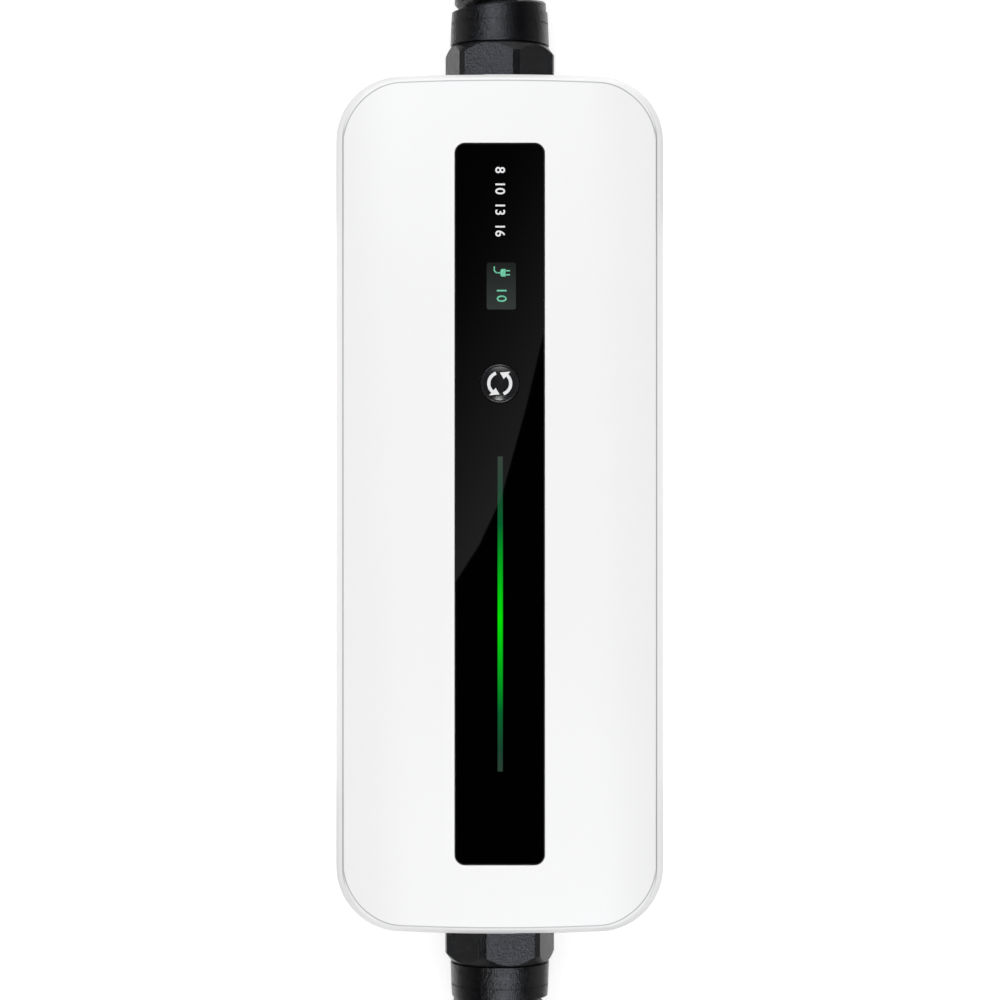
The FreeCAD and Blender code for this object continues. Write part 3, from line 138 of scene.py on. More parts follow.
# %% Cable helpers
def spline_cable(name, points, radius, material):
    """A round cable along a smooth spline, points in millimetres."""
    curve = bpy.data.curves.new(name, "CURVE")
    curve.dimensions = "3D"
    spline = curve.splines.new("NURBS")
    spline.points.add(len(points) - 1)
    for point, place in zip(spline.points, points):
        point.co = (place[0] * MM, place[1] * MM, place[2] * MM, 1.0)
    spline.order_u = 3
    spline.use_endpoint_u = True
    spline.resolution_u = 8
    curve.bevel_depth = radius * MM
    curve.bevel_resolution = 5
    curve.use_fill_caps = True
    curve.materials.append(material)
    cable = bpy.data.objects.new(name, curve)
    bpy.context.scene.collection.objects.link(cable)
    return cable


def spline_length(cable):
    """The length of a cable's centre line, in metres."""
    bevel = cable.data.bevel_depth
    cable.data.bevel_depth = 0.0
    view = bpy.context.evaluated_depsgraph_get()
    view.update()
    line = bpy.data.meshes.new_from_object(cable.evaluated_get(view))
    cable.data.bevel_depth = bevel
    places = [vertex.co for vertex in line.vertices]
    length = sum((b - a).length for a, b in zip(places, places[1:]))
    bpy.data.meshes.remove(line)
    return length


print("cable helpers ready")

# %% [markdown]
# The jacket of the leads is black thermoplastic rubber, drawn through a die. That
# leaves a satin skin with a faint grain of a third of a millimetre, and a sheen that
# drifts slowly along the lead. Two noises do this, one coarse and one fine.

# %% Cable sheath
sheath, tree, shader = new_material("sheath_black_rubber")
place = add(tree, "ShaderNodeTexCoord").outputs["Object"]
drift = add(tree, "ShaderNodeTexNoise", {"Vector": place, "Scale": 90.0, "Detail": 4.0})
tone = add(tree, "ShaderNodeMix", {
    "Factor": drift.outputs["Fac"], "A": ink("#0F0F10"), "B": ink("#1B1B1D"),
}, data_type="RGBA")
gloss = add(tree, "ShaderNodeMapRange", {
    "Value": drift.outputs["Fac"], "To Min": 0.42, "To Max": 0.6,
})
grain = add(tree, "ShaderNodeTexNoise", {"Vector": place, "Scale": 3000.0, "Detail": 2.0})
raised = add(tree, "ShaderNodeBump", {
    "Height": grain.outputs["Fac"], "Strength": 0.25, "Distance": 0.00006,
})
feed(tree, shader, {
    "Base Color": result(tone), "Roughness": result(gloss), "Normal": raised.outputs["Normal"],
})
print("finish:", sheath.name)

# %% [markdown]
# The mains lead leaves its gland, sinks to the table, turns back in one loose bow and
# rises into the plug beside the box. Its points are in millimetres.

# %% Mains lead
mains_points = [
    (0, 165.3, 24), (0, 184, 24), (6.2, 203.5, 20), (19.4, 221, 14), (36, 236, 8.8),
    (47.5, 256.5, 5.7), (50, 281, 5.2), (42, 304, 5.2), (25, 321, 5.2), (2, 328.5, 5.2),
    (-22, 325.5, 5.2), (-42.5, 312.5, 6.2), (-56, 292, 10), (-61, 268.5, 15),
    (-61.5, 249.5, 19.5), (-61.5, 237, 19.5),
]
mains_lead = spline_cable("mains_lead", mains_points, 5.0, sheath)
mains_length = spline_length(mains_lead)
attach(mains_lead, "charger")
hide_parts("mains_cable")
print("mains lead:", round(mains_length, 3), "m")

# %% [markdown]
# The vehicle lead is put away as a flat hank: turns beside and on each other, folded
# about two half circles. A loop writes its points, twelve to a turn. At the near fold
# each turn steps across to the next place, and a step upwards bows out a little so
# that it passes beside its neighbour.

# %% Route of the vehicle lead
FOLD_NEAR, FOLD_FAR = -274.0, -403.0  # the middles of the two half circles, in Y
WIDE, NARROW = 49.1, 37  # radius of an outer and an inner turn
LOW, STEP_UP = 7.2, 11.75  # height of the first layer, and from layer to layer
TURN_STEP = 36  # degrees from one steering point of a fold to the next
BOW_OUT = 3.5
TRACKS = [
    (WIDE, 0), (NARROW, 0), (NARROW, 1), (WIDE, 1), (WIDE, 2), (NARROW, 2), (NARROW, 3),
    (WIDE, 3),
]


def fold_point(radius, angle, middle, height):
    """A steering point of a half round fold, just outside its circle."""
    reach = radius / math.cos(math.radians(TURN_STEP / 2))
    turn = math.radians(angle)
    return (reach * math.cos(turn), middle + reach * math.sin(turn), height)


vehicle_points = [
    (0, -165.3, 24), (0, -184, 24), (3.5, -203, 16), (14, -220.5, 9),
    fold_point(WIDE, 54, FOLD_NEAR, LOW), fold_point(WIDE, 18, FOLD_NEAR, LOW),
]
halfway = (FOLD_NEAR + FOLD_FAR) / 2
for (radius, layer), (next_radius, next_layer) in zip(TRACKS, TRACKS[1:]):
    height, next_height = LOW + STEP_UP * layer, LOW + STEP_UP * next_layer
    vehicle_points.append((radius, halfway, height))
    for angle in range(-TURN_STEP // 2, -180, -TURN_STEP):
        vehicle_points.append(fold_point(radius, angle, FOLD_FAR, height))
    vehicle_points.append((-radius, halfway, height))
    bow = 0.0
    if radius == next_radius:
        bow = BOW_OUT if radius == WIDE else -BOW_OUT
    angles = range(180 - TURN_STEP // 2, 0, -TURN_STEP)
    for index, angle in enumerate(angles):
        share = index / (len(angles) - 1)
        across = radius + share * (next_radius - radius) + bow * math.sin(math.pi * share)
        up = height + share * (next_height - height)
        vehicle_points.append(fold_point(across, angle, FOLD_NEAR, up))
vehicle_points += [
    (49.1, -306, 43), (49.5, -341, 48.5), (49.2, -377, 54.7), (48.5, -415.6, 55.2),
    (33.5, -441.6, 55.2), (4.1, -455.7, 55.2), (-28.1, -448.8, 55.2), (-47.6, -426, 55.4),
    (-51.7, -399.3, 57.4), (-47.2, -380, 60.2),
]
print("vehicle lead:", len(vehicle_points), "points in", len(TRACKS) - 1, "turns and a tail")

# %% [markdown]
# With its route written, the lead itself is one call. It stands for three pieces of
# the frame: the run from the gland, the tied hank and the tail up to the connector.

# %% Vehicle lead
vehicle_lead = spline_cable("vehicle_lead", vehicle_points, 6.0, sheath)
vehicle_length = spline_length(vehicle_lead)
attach(vehicle_lead, "charger")
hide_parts("vehicle_cable", "vehicle_hank", "vehicle_cable_tail")
print("vehicle lead:", round(vehicle_length, 3), "m")

# %% [markdown]
# Most of the pieces are moulded plastic or rubber, and they differ in colour, sheen
# and the grain of their mould. One function lays the shared base: a slow drift of tone
# and sheen over the piece, and a fine spark-eroded grain sized in millimetres.

# %% Moulded finishes
def moulded(name, dark, light, rough, grain_mm, depth_mm, drift_mm=14.0, ior=1.5):
    """A moulded plastic or rubber with drifting tone and an even grain."""
    material, tree, shader = new_material(name)
    place = add(tree, "ShaderNodeTexCoord").outputs["Object"]
    drift = add(tree, "ShaderNodeTexNoise", {
        "Vector": place, "Scale": 1000.0 / drift_mm, "Detail": 3.0,
    })
    tone = add(tree, "ShaderNodeMix", {
        "Factor": drift.outputs["Fac"], "A": ink(dark), "B": ink(light),
    }, data_type="RGBA")
    sheen = add(tree, "ShaderNodeMapRange", {
        "Value": drift.outputs["Fac"], "From Min": 0.3, "From Max": 0.7,
        "To Min": rough[0], "To Max": rough[1],
    })
    grain = add(tree, "ShaderNodeTexNoise", {
        "Vector": place, "Scale": 1000.0 / grain_mm, "Detail": 2.0,
    })
    raised = add(tree, "ShaderNodeBump", {
        "Height": grain.outputs["Fac"], "Strength": 1.0, "Distance": depth_mm * MM,
    })
    feed(tree, shader, {
        "Base Color": result(tone), "Roughness": result(sheen), "IOR": ior,
        "Normal": raised.outputs["Normal"],
    })
    return material, tree, shader


print("moulded finish ready")

# %% [markdown]
# Lines and patches are drawn in a material by their place on the piece. These helpers
# measure how far a place is from a line or from a rectangle, and tell with a soft edge
# whether it is near enough.

# %% Helpers that draw by place
def off_from(tree, socket, middle_mm):
    """How far a coordinate is from a place, in metres."""
    gap = add(tree, "ShaderNodeMath", {0: socket, 1: middle_mm * MM}, operation="SUBTRACT")
    return add(tree, "ShaderNodeMath", {0: gap.outputs[0]}, operation="ABSOLUTE").outputs[0]


def inside(tree, socket, middle_mm, half_mm, soft_mm=0.05):
    """One where a coordinate is near a place, and nought beyond a soft edge."""
    off = off_from(tree, socket, middle_mm)
    edge = add(tree, "ShaderNodeMapRange", {
        "Value": off, "From Min": (half_mm + soft_mm) * MM, "From Max": (half_mm - soft_mm) * MM,
    })
    return result(edge)


def past_core(tree, x, y, half_x, half_y):
    """How far a place lies outside a rectangle about the origin, in metres."""
    place = add(tree, "ShaderNodeCombineXYZ", {"X": x, "Y": y}).outputs["Vector"]
    place = add(tree, "ShaderNodeVectorMath", {
        0: place, 1: (half_x * MM, half_y * MM, 0.0),
    }, operation="SUBTRACT").outputs["Vector"]
    place = add(tree, "ShaderNodeVectorMath", {
        0: place, 1: (0.0, 0.0, 0.0),
    }, operation="MAXIMUM").outputs["Vector"]
    return add(tree, "ShaderNodeVectorMath", {0: place}, operation="LENGTH").outputs["Value"]


print("place helpers ready")

# %% [markdown]
# The case is a blend of ABS and polycarbonate with a light texture: a soft white. Its
# grain is finer than a pixel, so it is drawn at 0.8 mm. Where the cover meets the
# shell both edges are eased, and the line between them is painted darker: painted
# shade of the gap. It lies at one height along the sides.

# %% White of the case
case_white, tree, shader = moulded(
    "case_abs_white", "#F1F1F1", "#F4F4F4", (0.38, 0.46), 0.8, 0.006, drift_mm=60.0
)
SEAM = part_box("rear_shell")[1][2] / MM
axes = add(tree, "ShaderNodeSeparateXYZ", {
    "Vector": add(tree, "ShaderNodeTexCoord").outputs["Object"],
})
# painted shade: a darker band along the gap where the cover meets the shell
seam_shade = inside(tree, axes.outputs["Z"], SEAM - 0.25, 0.4, 0.08)
print("joint of the case at", round(SEAM, 2), "mm")

# %% [markdown]
# Round the two ends a fine dark line is painted on the face of the cover, just inside
# its edge: painted shade that stands in for the gap of the joint, which the cover hides
# there. It is found from the outline, a rectangle with round corners and bowed ends:
# how far a place lies outside the straight core of that shape tells how near it is to
# the edge. Towards the ends the line draws in by one more millimetre.

# %% Painted shade line on the cover
CORNER = 17.5  # radius of the corners, in millimetres
LINE_IN = 2.35  # from the outline in to the line
CORE_X, CORE_Y = 44.0 - CORNER, 115.5 - CORNER  # half sizes without the corners
END_RADIUS = 0.6  # of a bowed end, in metres

flat_x = add(tree, "ShaderNodeMath", {0: axes.outputs["X"]}, operation="ABSOLUTE").outputs[0]
flat_y = add(tree, "ShaderNodeMath", {0: axes.outputs["Y"]}, operation="ABSOLUTE").outputs[0]
bowed = add(tree, "ShaderNodeMath", {0: flat_x, 1: flat_x}, operation="MULTIPLY").outputs[0]
bowed = add(tree, "ShaderNodeMath", {
    0: bowed, 1: 1 / (2 * END_RADIUS), 2: flat_y,
}, operation="MULTIPLY_ADD").outputs[0]
edge = past_core(tree, flat_x, bowed, CORE_X, CORE_Y)
drawn_in = add(tree, "ShaderNodeMapRange", {
    "Value": flat_y, "From Min": 97 * MM, "From Max": 109 * MM, "To Max": 1.0 * MM,
})
edge = add(tree, "ShaderNodeMath", {0: edge, 1: result(drawn_in)}, operation="ADD").outputs[0]
# painted shade: a fine dark line on the face of the cover, just inside its edge
ring = inside(tree, edge, CORNER - LINE_IN, 0.16, 0.08)
above = add(tree, "ShaderNodeMath", {
    0: axes.outputs["Z"], 1: (SEAM + 0.4) * MM,
}, operation="GREATER_THAN").outputs[0]
ring = add(tree, "ShaderNodeMath", {0: ring, 1: above}, operation="MULTIPLY").outputs[0]
print("the line runs", LINE_IN, "mm inside the outline")

# %% [markdown]
# Two painted shade lines side by side at the corners would look like a double edge. So
# the painted shade at the joint fades where the corners begin, and the painted line on
# the face takes over from it.

# %% Hand over from line to line
for_edge_shade = result(add(tree, "ShaderNodeMapRange", {
    "Value": flat_y, "From Min": 96.5 * MM, "From Max": 99 * MM,
}))
for_seam_shade = result(add(tree, "ShaderNodeMapRange", {
    "Value": flat_y, "From Min": 97 * MM, "From Max": 102 * MM, "To Min": 1.0, "To Max": 0.25,
}))
ring = add(tree, "ShaderNodeMath", {0: ring, 1: for_edge_shade}, operation="MULTIPLY").outputs[0]
seam_shade = add(tree, "ShaderNodeMath", {0: seam_shade, 1: for_seam_shade}, operation="MULTIPLY").outputs[0]
tone = shader.inputs["Base Color"].links[0].from_socket
# both marks are painted shade, mixed into the white of the case
for mark, code in ((seam_shade, "#A6A8A9"), (ring, "#B4B6B7")):
    tone = result(add(tree, "ShaderNodeMix", {
        "Factor": mark, "A": tone, "B": ink(code),
    }, data_type="RGBA"))
feed(tree, shader, {"Base Color": tone, "Specular IOR Level": 0.3})
print("case finish:", len(tree.nodes), "nodes")

# %% [markdown]
# The other mouldings are a table. Silicone is dead matt and dark, in the seam, under
# the button and in the glands. The glands are polyamide from a sparked mould, so
# their highlight breaks into bright specks; their grain is drawn at 0.45 mm so that
# it shows. Each row names the slot of the frame that the finish is for, the material,
# its dark and light tone, its roughness, and the size and depth of its grain. The
# glands add the size of the drift and the index of refraction.

# %% Table of mouldings
mouldings = [
    ("seal_rubber", "silicone_seal", "#1B1B1C", "#262627", (0.6, 0.75), 0.5, 0.01),
    ("gland_grey", "polyamide_gland", "#0D0E10", "#121316", (0.2, 0.28), 0.45, 0.16, 14.0, 1.42),
    ("gland_rubber", "polyamide_relief", "#0A0A0C", "#0F0F12",
     (0.18, 0.26), 0.45, 0.18, 14.0, 1.42),
    ("button_grey", "button_abs", "#19191B", "#202123", (0.12, 0.18), 0.4, 0.002),
    ("plug_black", "plug_rubber", "#161617", "#1F1F21", (0.42, 0.55), 0.6, 0.03),
    ("connector_black", "connector_polyamide", "#18191A", "#222325", (0.36, 0.5), 0.7, 0.05),
    ("insert_grey", "contact_block_pbt", "#2A2B2C", "#333435", (0.4, 0.5), 0.5, 0.01),
    ("component_black", "potting_epoxy_black", "#0F0F10", "#1A1A1B", (0.35, 0.5), 0.5, 0.01),
    ("component_yellow", "film_capacitor_case", "#B58A1E", "#C79A2C", (0.3, 0.4), 0.5, 0.01),
    ("component_blue", "varistor_epoxy_blue", "#16408F", "#1F4FA6", (0.2, 0.3), 0.6, 0.03),
    ("header_white", "header_nylon", "#D8D2C2", "#E4DFD0", (0.4, 0.5), 0.5, 0.005),
    ("ribbon_grey", "ribbon_vinyl", "#85878A", "#939598", (0.4, 0.5), 0.5, 0.005),
    ("terminal_green", "terminal_nylon_green", "#1E6B39", "#287A45", (0.35, 0.45), 0.5, 0.005),
    ("fuse_ceramic", "fuse_steatite", "#D9D6CC", "#E6E3DA", (0.15, 0.3), 0.5, 0.004),
    ("board_green", "board_solder_mask", "#0E4A26", "#146033", (0.2, 0.3), 1.2, 0.01),
    ("led_green", "lamp_resin_green", "#2FBF3A", "#45D24F", (0.1, 0.2), 0.4, 0.003),
    ("guide_clear", "light_guide_acrylic", "#C9E6CC", "#D8F0DA", (0.05, 0.12), 1.0, 0.002),
    ("screen_dark", "screen_glass", "#1A201E", "#232A27", (0.05, 0.1), 1.0, 0.001),
]
finishes = {"case_white": case_white}
for slot, *look in mouldings:
    finishes[slot] = moulded(*look)[0]
print("moulded finishes:", len(finishes))

# %% [markdown]
# Metals are told from plastics by colour in their reflection. Pressed and turned parts
# show fine lines of about a quarter of a millimetre, which stretch a highlight.

# %% Metals
def turned_metal(name, dark, light, rough, line_mm):
    """A drawn or turned metal with fine lines across its sheen."""
    material, tree, shader = new_material(name)
    place = add(tree, "ShaderNodeTexCoord").outputs["Object"]
    stretched = add(tree, "ShaderNodeMapping", {"Vector": place, "Scale": (1.0, 0.08, 1.0)})
    lines = add(tree, "ShaderNodeTexNoise", {
        "Vector": stretched.outputs["Vector"], "Scale": 1000.0 / line_mm, "Detail": 3.0,
    })
    tone = add(tree, "ShaderNodeMix", {
        "Factor": lines.outputs["Fac"], "A": ink(dark), "B": ink(light),
    }, data_type="RGBA")
    sheen = add(tree, "ShaderNodeMapRange", {
        "Value": lines.outputs["Fac"], "To Min": rough[0], "To Max": rough[1],
    })
    feed(tree, shader, {
        "Base Color": result(tone), "Roughness": result(sheen), "Metallic": 1.0,
    })
    return material


metals = [
    ("contact_metal", "nickel_plated_brass", "#B9B4A8", "#D6D2C8", (0.18, 0.34), 0.25),
    ("screw_steel", "zinc_plated_steel", "#A6A8AA", "#C2C4C6", (0.25, 0.4), 0.25),
    ("capacitor_can", "sleeved_aluminium", "#2A3350", "#3A4568", (0.3, 0.45), 0.4),
]
for slot, *look in metals:
    finishes[slot] = turned_metal(*look)
print("metals:", len(metals))

# %% [markdown]
# The display strip is one plate of acrylic, black printed on its back. Two places are
# left clear of ink: a long slot for the light guide, and a small window with the
# screen behind it. Both are found by their place on the piece, each as a rectangle
# with round corners, in millimetres.

# %% Clear places of the strip
display_black, tree, shader = new_material("display_acrylic_black")
place = add(tree, "ShaderNodeTexCoord").outputs["Object"]
axes = add(tree, "ShaderNodeSeparateXYZ", {"Vector": place})


def patch(tree, axes, x, half_x, y, half_y, corner):
    """One on a rectangle of the strip with round corners and a soft edge."""
    off_x = off_from(tree, axes.outputs["X"], x)
    off_y = off_from(tree, axes.outputs["Y"], y)
    past = past_core(tree, off_x, off_y, half_x - corner, half_y - corner)
    return inside(tree, past, 0.0, corner)


bar = patch(tree, axes, x=0.13, half_x=0.68, y=-29.1, half_y=41.7, corner=0.1)
window = patch(tree, axes, x=0.4, half_x=3.85, y=57.7, half_y=6.2, corner=0.55)
print("clear places: a slot of 1.4 x 83 mm and a window of 7.7 x 12.4 mm")

# %% [markdown]
# Light enters the guide near its middle and leaks out on the way to its ends, so the
# slot glows bright green there and fades to a dull one. A colour ramp along the slot
# holds the five steps.

# %% Green glow
GLOW_MIDDLE, GLOW_REACH = -30.4, 43.0

along = add(tree, "ShaderNodeMapRange", {
    "Value": off_from(tree, axes.outputs["Y"], GLOW_MIDDLE), "From Max": GLOW_REACH * MM,
})
glow = add(tree, "ShaderNodeValToRGB", {"Fac": result(along)})
stops = glow.color_ramp.elements
stops[0].color = ink("#00DE00")
stops[1].position = 1.0
stops[1].color = ink("#303D35")
for position, colour in ((0.3, "#00AC18"), (0.58, "#03602C"), (0.8, "#17432F")):
    stops.new(position).color = ink(colour)
lit = add(tree, "ShaderNodeMix", {
    "Factor": bar, "A": ink("#000000"), "B": glow.outputs["Color"],
}, data_type="RGBA")
print("glow:", len(stops), "steps over", GLOW_REACH, "mm to each side")

# %% [markdown]
# The screen is lit from its lower edge, so its grey fades towards the mains end. The
# ink round it is almost pure black, and the acrylic over both is polished: it mirrors
# the room, with a haze that only just softens the picture in it.

# %% Screen, ink and polish
fade = add(tree, "ShaderNodeMapRange", {
    "Value": axes.outputs["Y"], "From Min": 51.5 * MM, "From Max": 63.9 * MM,
})
glass = add(tree, "ShaderNodeMix", {
    "Factor": result(fade), "A": ink("#323836"), "B": ink("#1B1F1E"),
}, data_type="RGBA")
paint = add(tree, "ShaderNodeMix", {
    "Factor": window, "A": ink("#010101"), "B": result(glass),
}, data_type="RGBA")
paint = add(tree, "ShaderNodeMix", {
    "Factor": bar, "A": result(paint), "B": ink("#050605"),
}, data_type="RGBA")
haze = add(tree, "ShaderNodeTexNoise", {"Vector": place, "Scale": 40.0, "Detail": 2.0})
sheen = add(tree, "ShaderNodeMapRange", {
    "Value": haze.outputs["Fac"], "To Min": 0.005, "To Max": 0.02,
})
feed(tree, shader, {
    "Base Color": result(paint), "Roughness": result(sheen), "IOR": 1.49,
    "Emission Color": result(lit), "Emission Strength": 1.0,
})
finishes["lens_black"] = display_black
print("strip finish:", len(tree.nodes), "nodes")

# %% [markdown]
# The turns of the hank are held by straps of hook and loop tape. Such tape is woven,
# with a nap of fine loops, so its finish is rough, soft at grazing angles, and shows
# rows of about a millimetre.

# %% Strap
strap_black, tree, shader = new_material("strap_woven_nylon")
place = add(tree, "ShaderNodeTexCoord").outputs["Object"]
LOOP_MM = 0.9
rows = add(tree, "ShaderNodeTexVoronoi", {"Vector": place, "Scale": 1000.0 / LOOP_MM})
tone = add(tree, "ShaderNodeMix", {
    "Factor": rows.outputs["Distance"], "A": ink("#2C2C2E"), "B": ink("#121213"),
}, data_type="RGBA")
raised = add(tree, "ShaderNodeBump", {
    "Height": rows.outputs["Distance"], "Strength": 0.9, "Distance": 0.3 * MM,
}, invert=True)
feed(tree, shader, {
    "Base Color": result(tone), "Roughness": 0.9, "Sheen Weight": 0.4, "Sheen Roughness": 0.4,
    "Normal": raised.outputs["Normal"],
})
finishes["strap_black"] = strap_black
print("strap: loops of", LOOP_MM, "mm")

# %% [markdown]
# Inside the case the cores of a lead lie side by side, and their vinyl tells them
# apart: brown for line, green and yellow for earth, blue for neutral. One material
# does for all of them, with three bands across the box; the four cores of the vehicle
# lead share them.

# %% Insulation of the cores
core_colour, tree, shader = new_material("core_insulation")
place = add(tree, "ShaderNodeTexCoord").outputs["Object"]
axes = add(tree, "ShaderNodeSeparateXYZ", {"Vector": place})
across = add(tree, "ShaderNodeMapRange", {
    "Value": axes.outputs["X"], "From Min": -6 * MM, "From Max": 6 * MM,
})
bands = add(tree, "ShaderNodeValToRGB", {"Fac": result(across)})
bands.color_ramp.interpolation = "CONSTANT"
bands.color_ramp.elements[0].color = ink("#5A3420")
bands.color_ramp.elements[1].position = 0.62
bands.color_ramp.elements[1].color = ink("#2B4FA0")
bands.color_ramp.elements.new(0.38).color = ink("#8FA33A")
feed(tree, shader, {"Base Color": bands.outputs["Color"], "Roughness": 0.4})
finishes["core_insulation"] = core_colour
finishes["cable_black"] = sheath
print("finishes ready:", len(finishes))

# %% [markdown]
# The record of the part says which slot each piece has, so one loop dresses them all.

# %% Finishes for every piece of the frame
slot_of = {part["node"]: part["material_slot"] for part in frame["record"]["subparts"]}
for name, piece in nodes.items():
    piece.material_slots[0].link = "OBJECT"
    piece.material_slots[0].material = finishes[slot_of[name]]
print("dressed:", len(nodes), "pieces in", len(set(slot_of.values())), "finishes")

# %% [markdown]
# The prints on the strip are thin films of screen ink, matt beside the acrylic. The
# signs in the window are lit from behind in cells of 0.3 mm, so they glow a little
# unevenly.

# %% Ink and lit signs
print_white, tree, shader = new_material("screen_ink_white")
place = add(tree, "ShaderNodeTexCoord").outputs["Object"]
mottle = add(tree, "ShaderNodeTexNoise", {"Vector": place, "Scale": 2500.0})
tone = add(tree, "ShaderNodeMix", {
    "Factor": mottle.outputs["Fac"], "A": ink("#DADBDC"), "B": ink("#ECECEE"),
}, data_type="RGBA")
feed(tree, shader, {"Base Color": result(tone), "Roughness": 0.35})

sign_green, tree, shader = new_material("screen_sign_green")
place = add(tree, "ShaderNodeTexCoord").outputs["Object"]
cells = add(tree, "ShaderNodeTexVoronoi", {"Vector": place, "Scale": 1000.0 / 0.3})
tone = add(tree, "ShaderNodeMix", {
    "Factor": cells.outputs["Distance"], "A": ink("#8ADBB9"), "B": ink("#4FAE88"),
}, data_type="RGBA")
feed(tree, shader, {
    "Base Color": ink("#0B1F18"), "Roughness": 0.1, "Emission Color": result(tone),
    "Emission Strength": 1.0,
})
print("inks:", print_white.name, "and", sign_green.name)

# %% [markdown]
# What the lesson adds to the frame is a plain mesh with one material, told which body
# it rides on.

# %% Helpers for added pieces
def mesh_piece(name, mesh, body, material):
    """A finished mesh as a piece that rides on a body."""
    piece = bpy.data.objects.new(name, mesh)
    bpy.context.scene.collection.objects.link(piece)
    piece.data.materials.clear()
    piece.data.materials.append(material)
    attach(piece, body)


def baked(thing):
    """The plain mesh of a curve, text or modified object, which is then removed."""
    view = bpy.context.evaluated_depsgraph_get()
    mesh = bpy.data.meshes.new_from_object(thing.evaluated_get(view))
    mesh.transform(thing.matrix_world)
    bpy.data.objects.remove(thing)
    return mesh


print("piece helpers ready")

# %% [markdown]
# The figures are set from the built-in font, turned a quarter so that they read along
# the box, and made a mesh before they are put in place.

# %% Figures
FILM = 0.012  # half the thickness of a print, in millimetres


def figures(name, words, size_mm, start, spacing, bold_mm):
    """Figures that read towards -Y, starting at a place in millimetres."""
    curve = bpy.data.curves.new(name, "FONT")
    curve.body = words
    curve.size = size_mm * MM
    curve.extrude = FILM * MM
    curve.offset = bold_mm * MM
    curve.resolution_u = 4
    curve.space_character = spacing
    text = bpy.data.objects.new(name, curve)
    bpy.context.scene.collection.objects.link(text)
    mesh = baked(text)
    place = Matrix.Translation([value * MM for value in start])
    mesh.transform(place @ Matrix.Rotation(-math.pi / 2, 4, "Z"))
    return mesh


LENS_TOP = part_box("display_lens")[1][2] / MM
ON_LENS = LENS_TOP + FILM + 0.002
ratings = figures("rating_figures", "8  10  13  16", 3.6, (-1.1, 89.3, ON_LENS), 1.0, 0.05)
mesh_piece("rating_figures", ratings, "charger", print_white)
setting = figures("screen_figures", "10", 3.7, (-0.75, 57.4, ON_LENS), 1.15, 0.03)
mesh_piece("screen_figures", setting, "charger", sign_green)
print("figures at", round(LENS_TOP, 2), "mm:", len(ratings.polygons), "faces")

# %% [markdown]
# A flat sign is a set of outlines filled and given a hair of thickness. The same
# helper makes the plug sign on the screen and the turning arrows on the button. Two
# more helpers write the outlines that bend: a stretch of ring and an arrow's head.

# %% Helpers for flat signs
def sign(name, shapes, place, thick_mm):
    """Outlines in millimetres, given a thin body, up turned to +X."""
    mesh = bpy.data.meshes.new(name)
    form = bmesh.new()
    for shape in shapes:
        low = [form.verts.new((y + place[0], -x + place[1], place[2])) for x, y in shape]
        high = [form.verts.new((v.co.x, v.co.y, v.co.z + thick_mm)) for v in low]
        form.faces.new(high)
        form.faces.new(low[::-1])
        for i in range(len(low)):
            j = (i + 1) % len(low)
            form.faces.new((low[i], low[j], high[j], high[i]))
    bmesh.ops.scale(form, vec=(MM, MM, MM), verts=form.verts)
    bmesh.ops.recalc_face_normals(form, faces=form.faces)
    form.to_mesh(mesh)
    form.free()
    return mesh


def at_angle(radius, angle):
    """A place on a circle about the origin, its angle in degrees."""
    return (math.cos(math.radians(angle)) * radius, math.sin(math.radians(angle)) * radius)


def band(radius, width, start, end, steps):
    """The outline of a stretch of ring, angles in degrees."""
    angles = [start + (end - start) * i / steps for i in range(steps + 1)]
    outer = [at_angle(radius + width / 2, angle) for angle in angles]
    inner = [at_angle(radius - width / 2, angle) for angle in angles]
    return outer + inner[::-1]


def arrow_head(radius, angle, length, width):
    """A triangle at the end of a ring band, pointing on round the ring."""
    return [
        at_angle(radius - width / 2, angle), at_angle(radius + width / 2, angle),
        at_angle(radius, angle + math.degrees(length / radius)),
    ]


print("a ring in 8 steps has", len(band(1.0, 0.2, 0, 360, 8)), "corners")

# %% [markdown]
# The plug sign is a body with a slanted foot, two prongs and a lead that bends away
# in a quarter ring. Its outlines are in millimetres, with the prongs up.

# %% Plug sign
plug_sign = [
    [(-1.0, 0.35), (-0.7, 0.0), (0.7, 0.0), (1.0, 0.35), (1.0, 1.35), (-1.0, 1.35)],
    [(-0.7, 1.45), (-0.35, 1.45), (-0.35, 2.5), (-0.7, 2.5)],
    [(0.35, 1.45), (0.7, 1.45), (0.7, 2.5), (0.35, 2.5)],
    [(-0.17, -0.7), (0.17, -0.7), (0.17, -0.05), (-0.17, -0.05)],
    [(x - 0.9, y - 0.75) for x, y in band(0.9, 0.34, -90, 0, 8)],
    [(-1.7, -1.82), (-0.95, -1.82), (-0.95, -1.48), (-1.7, -1.48)],
]
plug_mesh = sign("screen_plug_sign", plug_sign, (0.2, 61.2, LENS_TOP + 0.002), 2 * FILM)
mesh_piece("screen_plug_sign", plug_mesh, "charger", sign_green)
print("plug sign:", len(plug_sign), "outlines")

# %% [markdown]
# Two arrows turn after each other on the button. Its top is dished, so a flat print
# would float over the middle or sink at the rim. Each point of it is bent down to the
# ball that the dish is cut with. The print rides on the button's own body.

# %% Arrows of the button
BUTTON_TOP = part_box("mode_button")[1][2] / MM
BUTTON_Y = 31.9
RING, RING_WIDTH, SWEEP = 2.9, 0.85, 118
DISH, EDGE = 0.35, 4.45  # depth and radius of the dish

